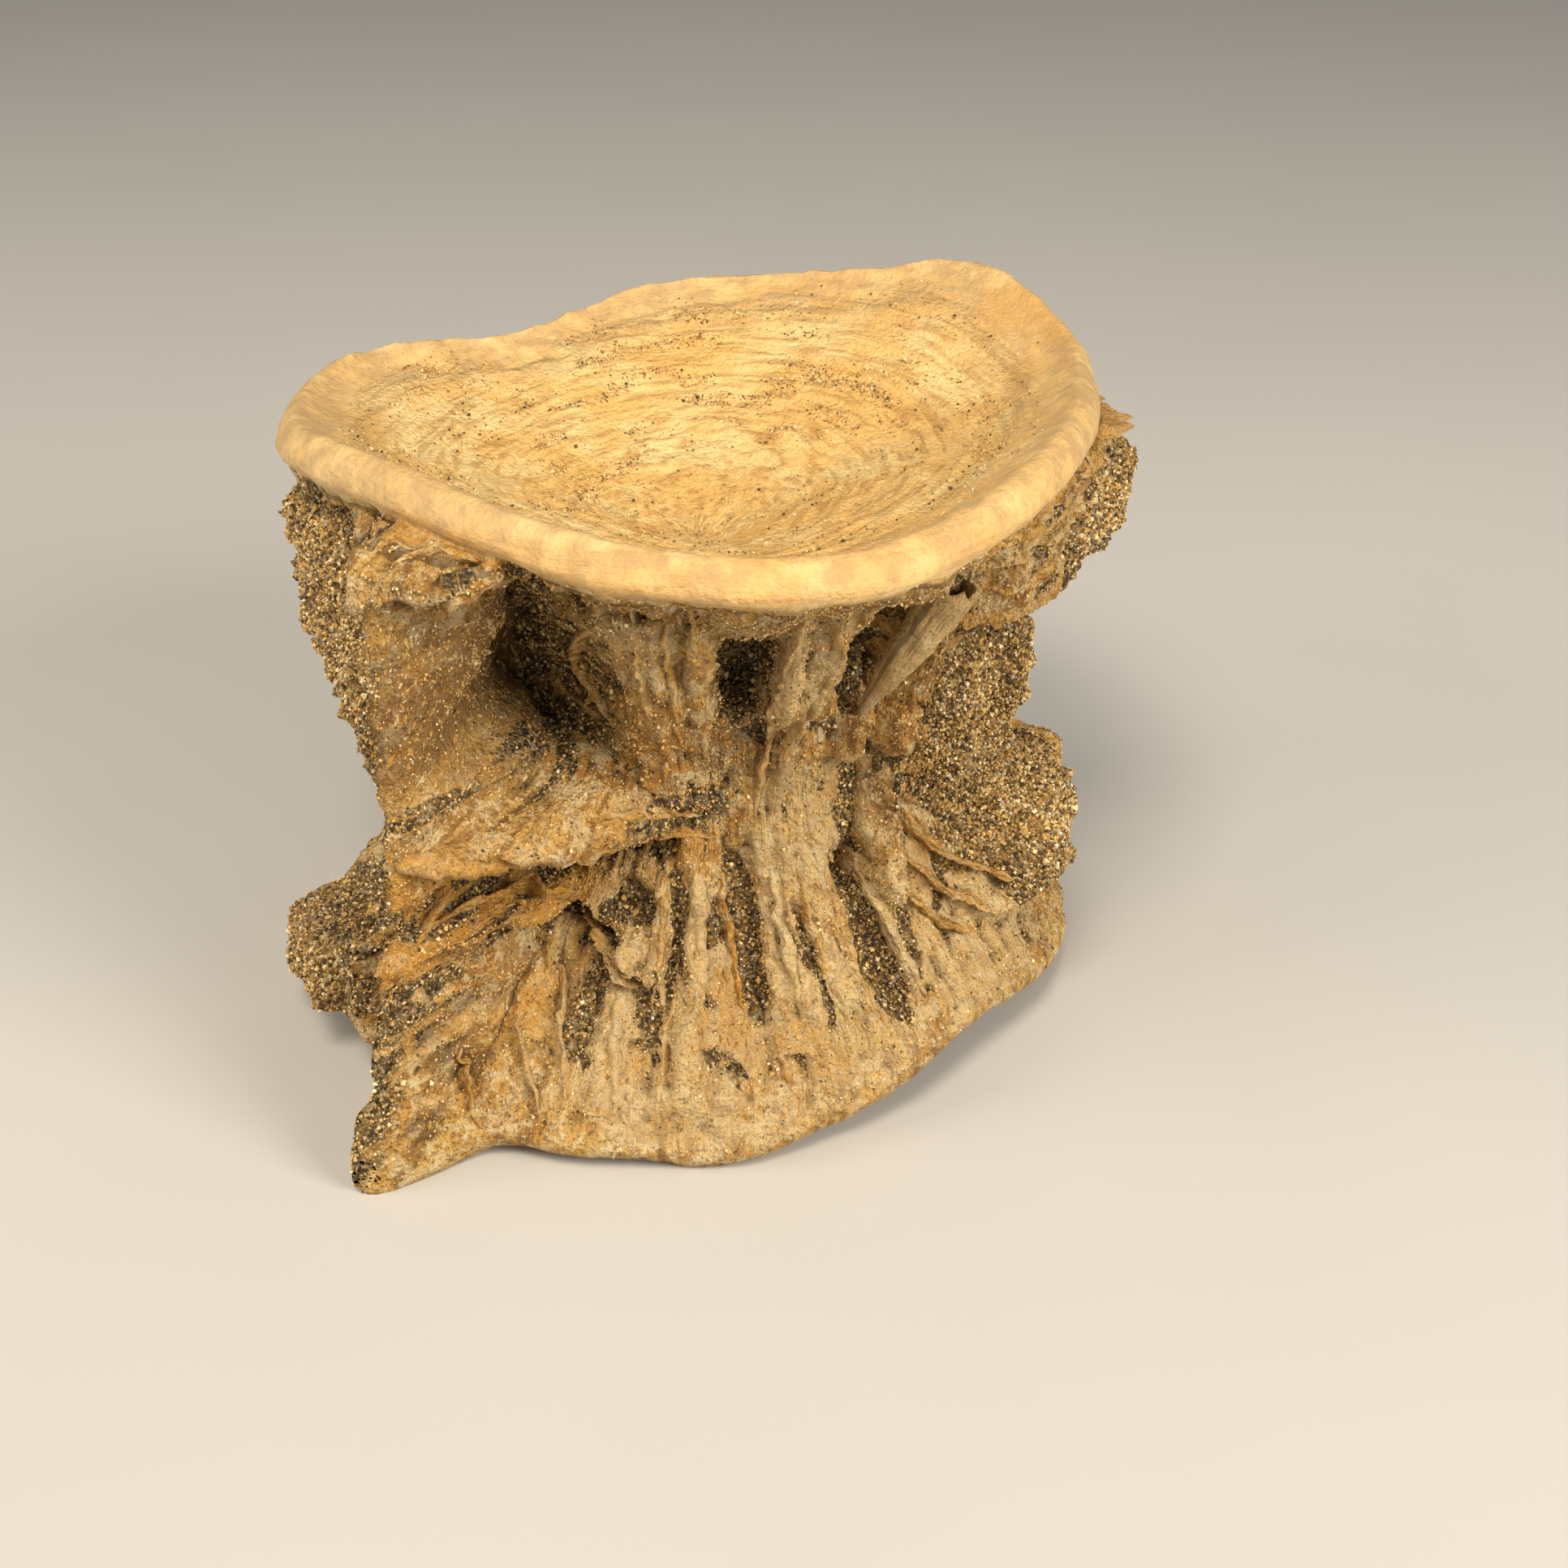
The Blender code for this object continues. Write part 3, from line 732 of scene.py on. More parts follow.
def bone_material():
    """Mineralised bone, weathered out of sandstone: matt, cream to golden, with ochre stains, pale crusts,
    fine fibres and pores, growth rings in the cup, packed sand in its hollows, and painted shade in its
    hollows, under the lip and in the cavity."""
    made, tree, shader = new_material("mineralised bone, weathered")
    place = add(tree, "ShaderNodeTexCoord").outputs["Object"]
    value = {}
    for label in ("sand", "ochre", "pale", "honey", "hollow", "cup", "lip"):
        value[label] = add(tree, "ShaderNodeAttribute", attribute_name=label).outputs["Fac"]
    fibre = add(tree, "ShaderNodeAttribute", attribute_name="fibre").outputs["Vector"]
    broad = mottle(tree, place, 6.0)
    medium = mottle(tree, place, 1.7, 6.0)
    fine = mottle(tree, place, 0.7, 6.0)
    speck = mottle(tree, place, 0.30, 2.0)
    streak = add(tree, "ShaderNodeTexNoise", {"Vector": fibre, "Scale": 1.0, "Detail": 4.0}).outputs["Fac"]

    def times(first, second):
        """The product of two values."""
        return joined(tree, "MULTIPLY", first, second)

    def laid(tone, share, code):
        """A colour with a share of another laid over it."""
        return mixed(tree, share, tone, linear(code))

    golden = laid(linear("#EABD68"), scaled(tree, broad, 0.35, 0.65), "#D69D45")
    tone = laid(golden, scaled(tree, streak, 0.42, 0.66, 0.0, 0.85), "#96682E")
    tone = laid(tone, scaled(tree, medium, 0.5, 0.6, 0.0, 0.75), "#F0D49C")
    tone = laid(tone, scaled(tree, fine, 0.52, 0.62, 0.0, 0.7), "#F6E0AC")
    tone = laid(tone, scaled(tree, fine, 0.36, 0.46, 0.5, 0.0), "#94692F")
    tone = laid(tone, scaled(tree, speck, 0.55, 0.66, 0.0, 0.65), "#76522A")
    cream = laid(linear("#FADB96"), scaled(tree, broad, 0.35, 0.62), "#F2C372")
    cream = laid(cream, scaled(tree, speck, 0.58, 0.72, 0.0, 0.3), "#A97C3C")
    ringed = times(scaled(tree, streak, 0.44, 0.68), value["cup"])
    cream = laid(cream, times(ringed, 0.62), "#BC8A42")
    worn = times(value["lip"], scaled(tree, medium, 0.35, 0.62, 0.45, 0.95))
    cream = laid(cream, worn, "#BE9C68")
    smooth_part = joined(tree, "MAXIMUM", value["cup"], value["lip"])
    tone = mixed(tree, smooth_part, tone, cream)
    rusty = times(value["ochre"], scaled(tree, fine, 0.4, 0.6, 0.35, 0.95))
    tone = laid(tone, rusty, "#D99A30")
    grey = laid(linear("#F6E0AE"), scaled(tree, fine, 0.4, 0.6), "#E0C084")
    tone = mixed(tree, times(value["pale"], 0.8), tone, grey)
    tone = laid(tone, times(value["honey"], 0.8), "#C99A52")
    # Painted shade: the bone darkened in its hollows, under the lip and in the cavity.
    tone = laid(tone, times(value["hollow"], 0.75), "#5A3D1E")
    sand, grain_height = sand_colour(tree, place)
    # Painted shade on the sand in the same hollows.
    sand = laid(sand, times(value["hollow"], 0.35), "#4A3419")
    edge = joined(tree, "ADD", value["sand"], times(joined(tree, "ADD", speck, fine), 0.5))
    sanded = scaled(tree, edge, 0.86, 1.12)
    tree.links.new(mixed(tree, sanded, tone, sand), shader.inputs["Base Color"])
    rough = scaled(tree, joined(tree, "MAXIMUM", smooth_part, value["honey"]), 0.0, 1.0, 0.82, 0.5)
    tree.links.new(rough, shader.inputs["Roughness"])
    height = joined(tree, "ADD", times(fine, 0.9), times(speck, 0.4))
    height = joined(tree, "ADD", height, times(streak, 0.7))
    even = joined(tree, "MAXIMUM", value["lip"], times(value["cup"], 0.55))
    height = times(height, scaled(tree, even, 0.0, 1.0, 1.0, 0.2))
    height = joined(tree, "ADD", height, times(times(sanded, grain_height), 0.6))
    bump = add(tree, "ShaderNodeBump", {"Height": height, "Strength": 1.0, "Distance": 1.3 * METRES})
    tree.links.new(bump.outputs["Normal"], shader.inputs["Normal"])
    return made


def rock_material():
    """Sandstone matrix: medium sand packed and lightly cemented, salt and pepper, with rusty patches."""
    made, tree, shader = new_material("sandstone matrix")
    place = add(tree, "ShaderNodeTexCoord").outputs["Object"]
    sand, grain_height = sand_colour(tree, place)
    rust = scaled(tree, mottle(tree, place, 3.5), 0.5, 0.7, 0.0, 0.45)
    tone = mixed(tree, rust, sand, linear("#B07F42"))
    tree.links.new(tone, shader.inputs["Base Color"])
    shader.inputs["Roughness"].default_value = 0.9
    bump = add(tree, "ShaderNodeBump", {"Height": grain_height, "Strength": 1.0, "Distance": 0.3 * METRES})
    tree.links.new(bump.outputs["Normal"], shader.inputs["Normal"])
    return made


def grain_material():
    """Quartz, feldspar and dark heavy grains: broken by wear, so half glassy and half frosted."""
    made, tree, shader = new_material("quartz sand grains")
    tone = add(tree, "ShaderNodeAttribute", attribute_name="tone").outputs["Vector"]
    tree.links.new(tone, shader.inputs["Base Color"])
    shader.inputs["Roughness"].default_value = 0.45
    return made


def dust_material():
    """Fine bone dust and quartz that cling to the bone: golden to cream, matt."""
    made, tree, shader = new_material("bone dust with fine quartz")
    tone = add(tree, "ShaderNodeAttribute", attribute_name="tone").outputs["Vector"]
    tree.links.new(mixed(tree, 0.7, tone, linear("#E3BB74")), shader.inputs["Base Color"])
    shader.inputs["Roughness"].default_value = 0.8
    return made


def bone_skin(skin, finish):
    """The whole bone as one closed skin: the first and last rows shrink to the middle of each cup."""
    rows, columns = skin.points.shape[:2]
    inner = skin.points[1:-1].reshape(-1, 3)
    every = np.vstack([inner, skin.points[:1, 0], skin.points[-1:, 0]])
    top = len(inner)
    quads = grid_faces(rows - 2, columns, 0)
    upper = fan_faces(top, np.arange(columns), False)
    last = np.arange(columns) + (rows - 3) * columns
    lower = fan_faces(top + 1, last, True)
    row, column = np.meshgrid(np.arange(rows - 3), np.arange(columns), indexing="ij")
    u = np.stack([column, column, column + 1, column + 1], axis=-1) / columns
    v = 1 - np.stack([row + 1, row + 2, row + 2, row + 1], axis=-1) / (rows - 1)
    quad_uv = np.stack([u, v], axis=-1).reshape(-1, 2)
    step = np.arange(columns)
    top_u = np.stack([step + 0.5, step, step + 1], axis=-1) / columns
    top_v = 1 - np.broadcast_to([0, 1, 1], top_u.shape) / (rows - 1)
    low_u = np.stack([step + 0.5, step + 1, step], axis=-1) / columns
    low_v = 1 - np.broadcast_to([rows - 1, rows - 2, rows - 2], low_u.shape) / (rows - 1)
    top_uv = np.stack([top_u, top_v], axis=-1).reshape(-1, 2)
    low_uv = np.stack([low_u, low_v], axis=-1).reshape(-1, 2)
    side_fibre = around_points(skin.angles, 50.0, skin.heights, 0.22)
    ring_fibre = around_points(skin.angles, 5.0, skin.reach, 1.7)
    fibre = np.where(skin.place[:, None, None] < SIDE_FIRST_SPAN, ring_fibre, side_fibre)
    # The hollow value is painted shade: darker in the skin's narrow and broad hollows and in the painted
    # shade areas under the lip.
    hollow = rise(skin.narrow, 0.02, 0.30) + rise(skin.broad, 0.6, 2.2)
    known = {
        "sand": skin.sand,
        "ochre": skin.ochre * (1 - skin.cup) * (1 - 0.5 * skin.lip),
        "pale": skin.pale * skin.side,
        "honey": skin.honey,
        "hollow": np.clip(np.maximum(hollow * skin.side, skin.dark), 0, 1),
        "cup": np.broadcast_to(skin.cup, skin.angles.shape),
        "lip": np.broadcast_to(skin.lip, skin.angles.shape),
        "fibre": fibre,
    }
    values = {}
    for label, value in known.items():
        value = value.reshape(rows, columns, -1)
        kept = np.vstack([value[1:-1].reshape(-1, value.shape[-1]), value[:1, 0], value[-1:, 0]])
        values[label] = kept[:, 0] if kept.shape[1] == 1 else kept
    uv = np.vstack([quad_uv, top_uv, low_uv])
    made = mesh_piece("bone_skin", every, [quads, upper, lower], uv, finish, values=values)
    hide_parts("centrum")


# Crusts of sandstone: direction they face, first and last angle, lower edge at those two angles, upper edge,
# thickness at the middle.
ROCK_PATCHES = {
    "rock_left_face": (202, 170, 230, 29.0, 19.5, 39.2, 0.9),
    "rock_lower_left": (204, 191, 219, 2.0, 2.0, 9.2, 0.9),
    "rock_right_shoulder": (358, 336, 24, 31.8, 31.8, 40.0, 0.15),
    "rock_right_recess": (340, 322, 360, 8.0, 8.0, 31.0, 1.1),
    "rock_back": (110, 100, 122, 24.0, 24.0, 33.0, 2.1),
}
ROCK_SUNK = 0.9


def rock_crust(name, skin, patch, finish):
    """A crust of rock on the skin: its window of the skin's own grid, once sunk a little into the bone and
    once pushed out by a rounded thickness that clouds make rough, closed round its edge. Gives back the
    outer face and how far each of its points is covered."""
    facing, first, final, low_first, low_final, high, thick = patch
    half = abs(turn(np.array(final), first)) / 2
    middle = first + turn(np.array(final), first) / 2
    columns = np.flatnonzero(np.abs(turn(skin.angles[0], middle)) <= half + 1)
    columns = columns[np.argsort(turn(skin.angles[0][columns], middle))]
    on_side = (skin.place > SIDE_FIRST_SPAN) & (skin.place < SIDE_LAST_SPAN + 0.5)
    heights = skin.heights[:, columns].mean(axis=1)
    rows = np.flatnonzero(on_side & (heights < high + 1) & (heights > min(low_first, low_final) - 1))
    pick = np.ix_(rows, columns)
    across = turn(skin.angles[pick], middle) / half
    low = low_first + (low_final - low_first) * (across + 1) / 2
    upward = (2 * skin.heights[pick] - high - low) / (high - low)
    base = skin.points[pick]
    torn = 0.22 * cloud(base, 3.4, 31) + 0.12 * cloud(base, 1.3, 32)
    away_share = (np.abs(across) ** 2.4 + np.abs(upward) ** 2.4) ** (1 / 2.4)
    cover = 1 - rise(away_share + torn, 0.66, 0.98)
    lump = 0.45 * cloud(base, 2.4, 33) + 0.30 * cloud(base, 0.9, 34) + 0.16 * cloud(base, 0.45, 35)
    away = level_way(facing)
    rim = np.zeros(cover.shape)
    rim[1:-1, 1:-1] = 1
    push = rim * (cover * (0.75 + thick + lump) - ROCK_SUNK * (1 - cover)) - ROCK_SUNK * (1 - rim)
    over = base + push[..., None] * away
    room = CLEAR + GRAIN_ROOM
    nearest = (np.array(cad_box[0]) / METRES - AXIS)[:2] + room
    farthest = (np.array(cad_box[1]) / METRES - AXIS)[:2] - room
    over[..., :2] = np.clip(over[..., :2], nearest, farthest)
    under = base - (ROCK_SUNK + 0.5 * rim)[..., None] * away
    tall, wide = cover.shape
    index = np.arange(tall * wide).reshape(tall, wide)
    a, b = index[:-1, :-1], index[:-1, 1:]
    c, d = index[1:, :-1], index[1:, 1:]
    outer = np.stack([a, c, d, b], axis=-1).reshape(-1, 4)
    lower_index = index + tall * wide
    lower_index[0] = index[0]
    lower_index[-1] = index[-1]
    lower_index[:, 0] = index[:, 0]
    lower_index[:, -1] = index[:, -1]
    inner = lower_index.ravel()[outer[:, ::-1]]
    every = np.vstack([over.reshape(-1, 3), under.reshape(-1, 3)])
    used = np.unique(np.concatenate([outer.ravel(), inner.ravel()]))
    renumber = np.zeros(len(every), int)
    renumber[used] = np.arange(len(used))
    u = (index % wide / wide).ravel()
    v = (index // wide / tall).ravel()
    over_uv = np.stack([u[outer] * 0.49, v[outer]], axis=-1).reshape(-1, 2)
    under_uv = np.stack([0.5 + u[outer[:, ::-1]] * 0.49, v[outer[:, ::-1]]], axis=-1).reshape(-1, 2)
    faces = [renumber[outer], renumber[inner]]
    uv = np.vstack([over_uv, under_uv])
    made = mesh_piece(name + "_crust", every[used], faces, uv, finish)
    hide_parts(name)
    return over, cover * rim


def smooth_path(stations, count):
    """Points along a smooth curve through a few stations."""
    stations = np.array(stations, float)
    padded = np.vstack([2 * stations[0] - stations[1], stations, 2 * stations[-1] - stations[-2]])
    place = np.linspace(0, len(stations) - 1, count)
    span = np.minimum(place.astype(int), len(stations) - 2)
    t = (place - span)[:, None]
    return catmull_rom(*(padded[span + step] for step in range(4)), t)


def evened(path, times):
    """A path with each inner point drawn to the mean of its neighbours, again and again."""
    for _ in range(times):
        path = np.concatenate([path[:1], (path[:-2] + 2 * path[1:-1] + path[2:]) / 4, path[-1:]])
    return path


def unit(vectors):
    """Vectors brought to length 1."""
    return vectors / np.linalg.norm(vectors, axis=-1, keepdims=True)


# How deep the root of a plate is sunk in the bone, and the places on the profile between which it stands.
ROOT = 1.3
PLATE_FIRST_PLACE = 5.4
PLATE_LAST_PLACE = 13.2


def blade(skin, stations, thick, edge, lean, warmth, seed, count=80, around=18):
    """A thin plate or strut that grows from the skin along a path. Stations are angle, height and how far
    the crest stands out from the skin there. Each ring round the path is a flat oval from a root sunk in the
    bone to the crest. It is thick at the root and edge wide at the crest, ragged by clouds and drawn to a
    point at both ends. Lean turns the plate about its path. Its sand and ochre are the skin's own, warmed to
    honey or paled to grey."""
    course = smooth_path(stations, count)
    columns = np.abs(turn(skin.angles[:1], course[:, :1])).argmin(1)
    side_rows = np.flatnonzero((skin.place > PLATE_FIRST_PLACE) & (skin.place < PLATE_LAST_PLACE))
    gaps = np.abs(skin.heights[np.ix_(side_rows, columns)] - course[:, 1])
    rows = side_rows[gaps.argmin(0)]
    foot = evened(skin.calm_points[rows, columns], 12)
    ahead = unit(np.gradient(foot, axis=0))
    out = evened(skin.calm_normals[rows, columns], 12)
    out = unit(out - (out * ahead).sum(1, keepdims=True) * ahead)
    beside = np.cross(ahead, out)
    leaning = np.radians(lean)
    crest = out * np.cos(leaning) + beside * np.sin(leaning)
    flat = beside * np.cos(leaning) - out * np.sin(leaning)
    t = np.linspace(0, 1, count)
    taper = np.sqrt(np.clip(1 - np.abs(2 * t - 1) ** 3, 0, 1))
    ragged = 1 + 0.55 * cloud(foot, 1.1, seed) + 0.35 * cloud(foot, 0.45, seed + 1)
    proud = course[:, 2] * taper * np.clip(ragged, 0.25, 1.6)
    phase = np.arange(around) / around * 2 * np.pi
    reach = (1 + np.cos(phase)) / 2
    over = -ROOT + (proud + ROOT)[:, None] * reach
    half_thick = (edge + (thick - edge) * (1 - reach) ** 1.5) / 2
    side = (np.sin(phase) * half_thick)[None, :] * (0.25 + 0.75 * taper)[:, None]
    rings = foot[:, None, :] + over[..., None] * crest[:, None, :] + side[..., None] * flat[:, None, :]
    lump = 0.16 * cloud(rings, 1.1, seed + 2) + 0.12 * cloud(rings, 0.45, seed + 3)
    rings = rings + lump[..., None] * flat[:, None, :] + 0.5 * lump[..., None] * crest[:, None, :]
    picked = (rows, columns)
    share = np.broadcast_to(reach, over.shape)
    length = np.cumsum(np.linalg.norm(np.gradient(foot, axis=0), axis=1))
    fibre = np.stack([over * 2.4, np.broadcast_to(length[:, None] * 0.25, over.shape), 0 * over], axis=-1)
    zero = np.zeros(over.shape)
    return {
        "rings": rings,
        "sand": skin.sand[picked][:, None] * (1 - rise(share, 0.45, 0.8)),
        "ochre": np.maximum(skin.ochre[picked][:, None], 0.5 * warmth) * (0.4 + 0.6 * share),
        "pale": zero + max(0.0, 0.9 - 2.2 * warmth),
        "honey": zero + max(0.0, 1.8 * warmth - 0.9),
        # Painted shade at the plate's root, where it meets the skin.
        "hollow": 0.5 * (1 - rise(share, 0.3, 0.8)),
        "cup": zero,
        "lip": zero,
        "fibre": fibre,
    }


def tube(low, high, radius, wall, warmth, seed, count=60, around=22):
    """A hollow tube of bone, broken open at its upper end: rings swell from a point up the outside to the
    mouth, turn over its wall and run down the inside to a point. Ends are angle, height and distance from
    the axis."""
    ends = (low, high)
    first, last = (distance * level_way(angle) + (0, 0, height) for angle, height, distance in ends)
    ahead = unit(last - first)
    across = unit(np.cross(ahead, (0, 0, 1)))
    upward = np.cross(ahead, across)
    t = np.linspace(0, 1, count)
    along = np.where(t < 0.6, t / 0.6, 1 - 0.7 * rise(t, 0.64, 1.0))
    swell = np.sqrt(np.clip(rise(t, 0, 0.4), 0, 1))
    inner_size = (radius - wall) * (1 - rise(t, 0.75, 1.0))
    size = np.where(t < 0.62, radius * (0.7 + 0.3 * along) * swell, inner_size)
    phase = np.arange(around) / around * 2 * np.pi
    middle = first + along[:, None] * (last - first)
    ragged = 0.55 * cloud(np.stack([3 * np.cos(phase), 3 * np.sin(phase), 0 * phase], axis=-1), 1.0, seed)
    rings = middle[:, None, :] + size[:, None, None] * (
        np.cos(phase)[:, None] * across + np.sin(phase)[:, None] * upward
    )
    rings = rings + (rise(along, 0.8, 1.0)[:, None] * ragged)[..., None] * ahead
    lump = 0.18 * cloud(rings, 0.9, seed + 1) * swell[:, None]
    rings = rings + lump[..., None] * unit(rings - middle[:, None, :] + 1e-6)
    inside = np.broadcast_to(rise(t, 0.62, 0.8)[:, None], rings.shape[:2])
    zero = np.zeros(rings.shape[:2])
    fibre = np.stack([np.broadcast_to(phase * 5, zero.shape), zero + along[:, None] * 2, zero], axis=-1)
    return {
        "rings": rings,
        "sand": zero + 0.2,
        "ochre": zero + 0.3 * warmth,
        "pale": zero + 0.5,
        "honey": zero,
        # Painted shade down the inside of the tube.
        "hollow": 0.9 * inside,
        "cup": zero,
        "lip": zero,
        "fibre": fibre,
    }


def blades_piece(name, parts, finish):
    """Joins blades into one object: each is its rings closed round, with a point at either end."""
    points, faces_quad, faces_fan, quad_uv, fan_uv = [], [], [], [], []
    values = {label: [] for label in parts[0] if label != "rings"}
    start = 0
    band = 1 / len(parts)
    for place, part in enumerate(parts):
        rings = part["rings"]
        count, around = rings.shape[:2]
        body = rings[1:-1].reshape(-1, 3)
        points.append(np.vstack([body, rings[0].mean(0), rings[-1].mean(0)]))
        quads = grid_faces(count - 2, around, start)[:, ::-1]
        first = np.arange(around) + start
        last = first + (count - 3) * around
        end = start + len(body)
        faces_quad.append(quads)
        faces_fan += [fan_faces(end, first, True), fan_faces(end + 1, last, False)]
        row, column = np.meshgrid(np.arange(count - 3), np.arange(around), indexing="ij")
        u = (np.stack([row, row + 1, row + 1, row], axis=-1) + 1) / (count - 1)
        v = (place + 0.96 * np.stack([column, column, column + 1, column + 1], axis=-1) / around) * band
        quad_uv.append(np.stack([u, v], axis=-1)[:, :, ::-1].reshape(-1, 2))
        step = np.arange(around)
        level = (place + 0.96 * np.stack([step + 0.5, step + 1, step], axis=-1) / around) * band
        near = np.broadcast_to([0, 1, 1], level.shape) / (count - 1)
        fan_uv.append(np.stack([near, level], axis=-1).reshape(-1, 2))
        level = (place + 0.96 * np.stack([step + 0.5, step, step + 1], axis=-1) / around) * band
        fan_uv.append(np.stack([1 - near, level], axis=-1).reshape(-1, 2))
        for label in values:
            value = part[label].reshape(count, around, -1)
            inside = value[1:-1].reshape(-1, value.shape[-1])
            values[label].append(np.vstack([inside, value[0, :1], value[-1, :1]]))
        start += len(body) + 2
    known = {label: np.vstack(rows) for label, rows in values.items()}
    known = {label: rows[:, 0] if rows.shape[1] == 1 else rows for label, rows in known.items()}
    faces = [np.vstack(faces_quad), np.vstack(faces_fan)]
    uv = np.vstack(quad_uv + fan_uv)
    mesh_piece(name, np.vstack(points), faces, uv, finish, values=known)


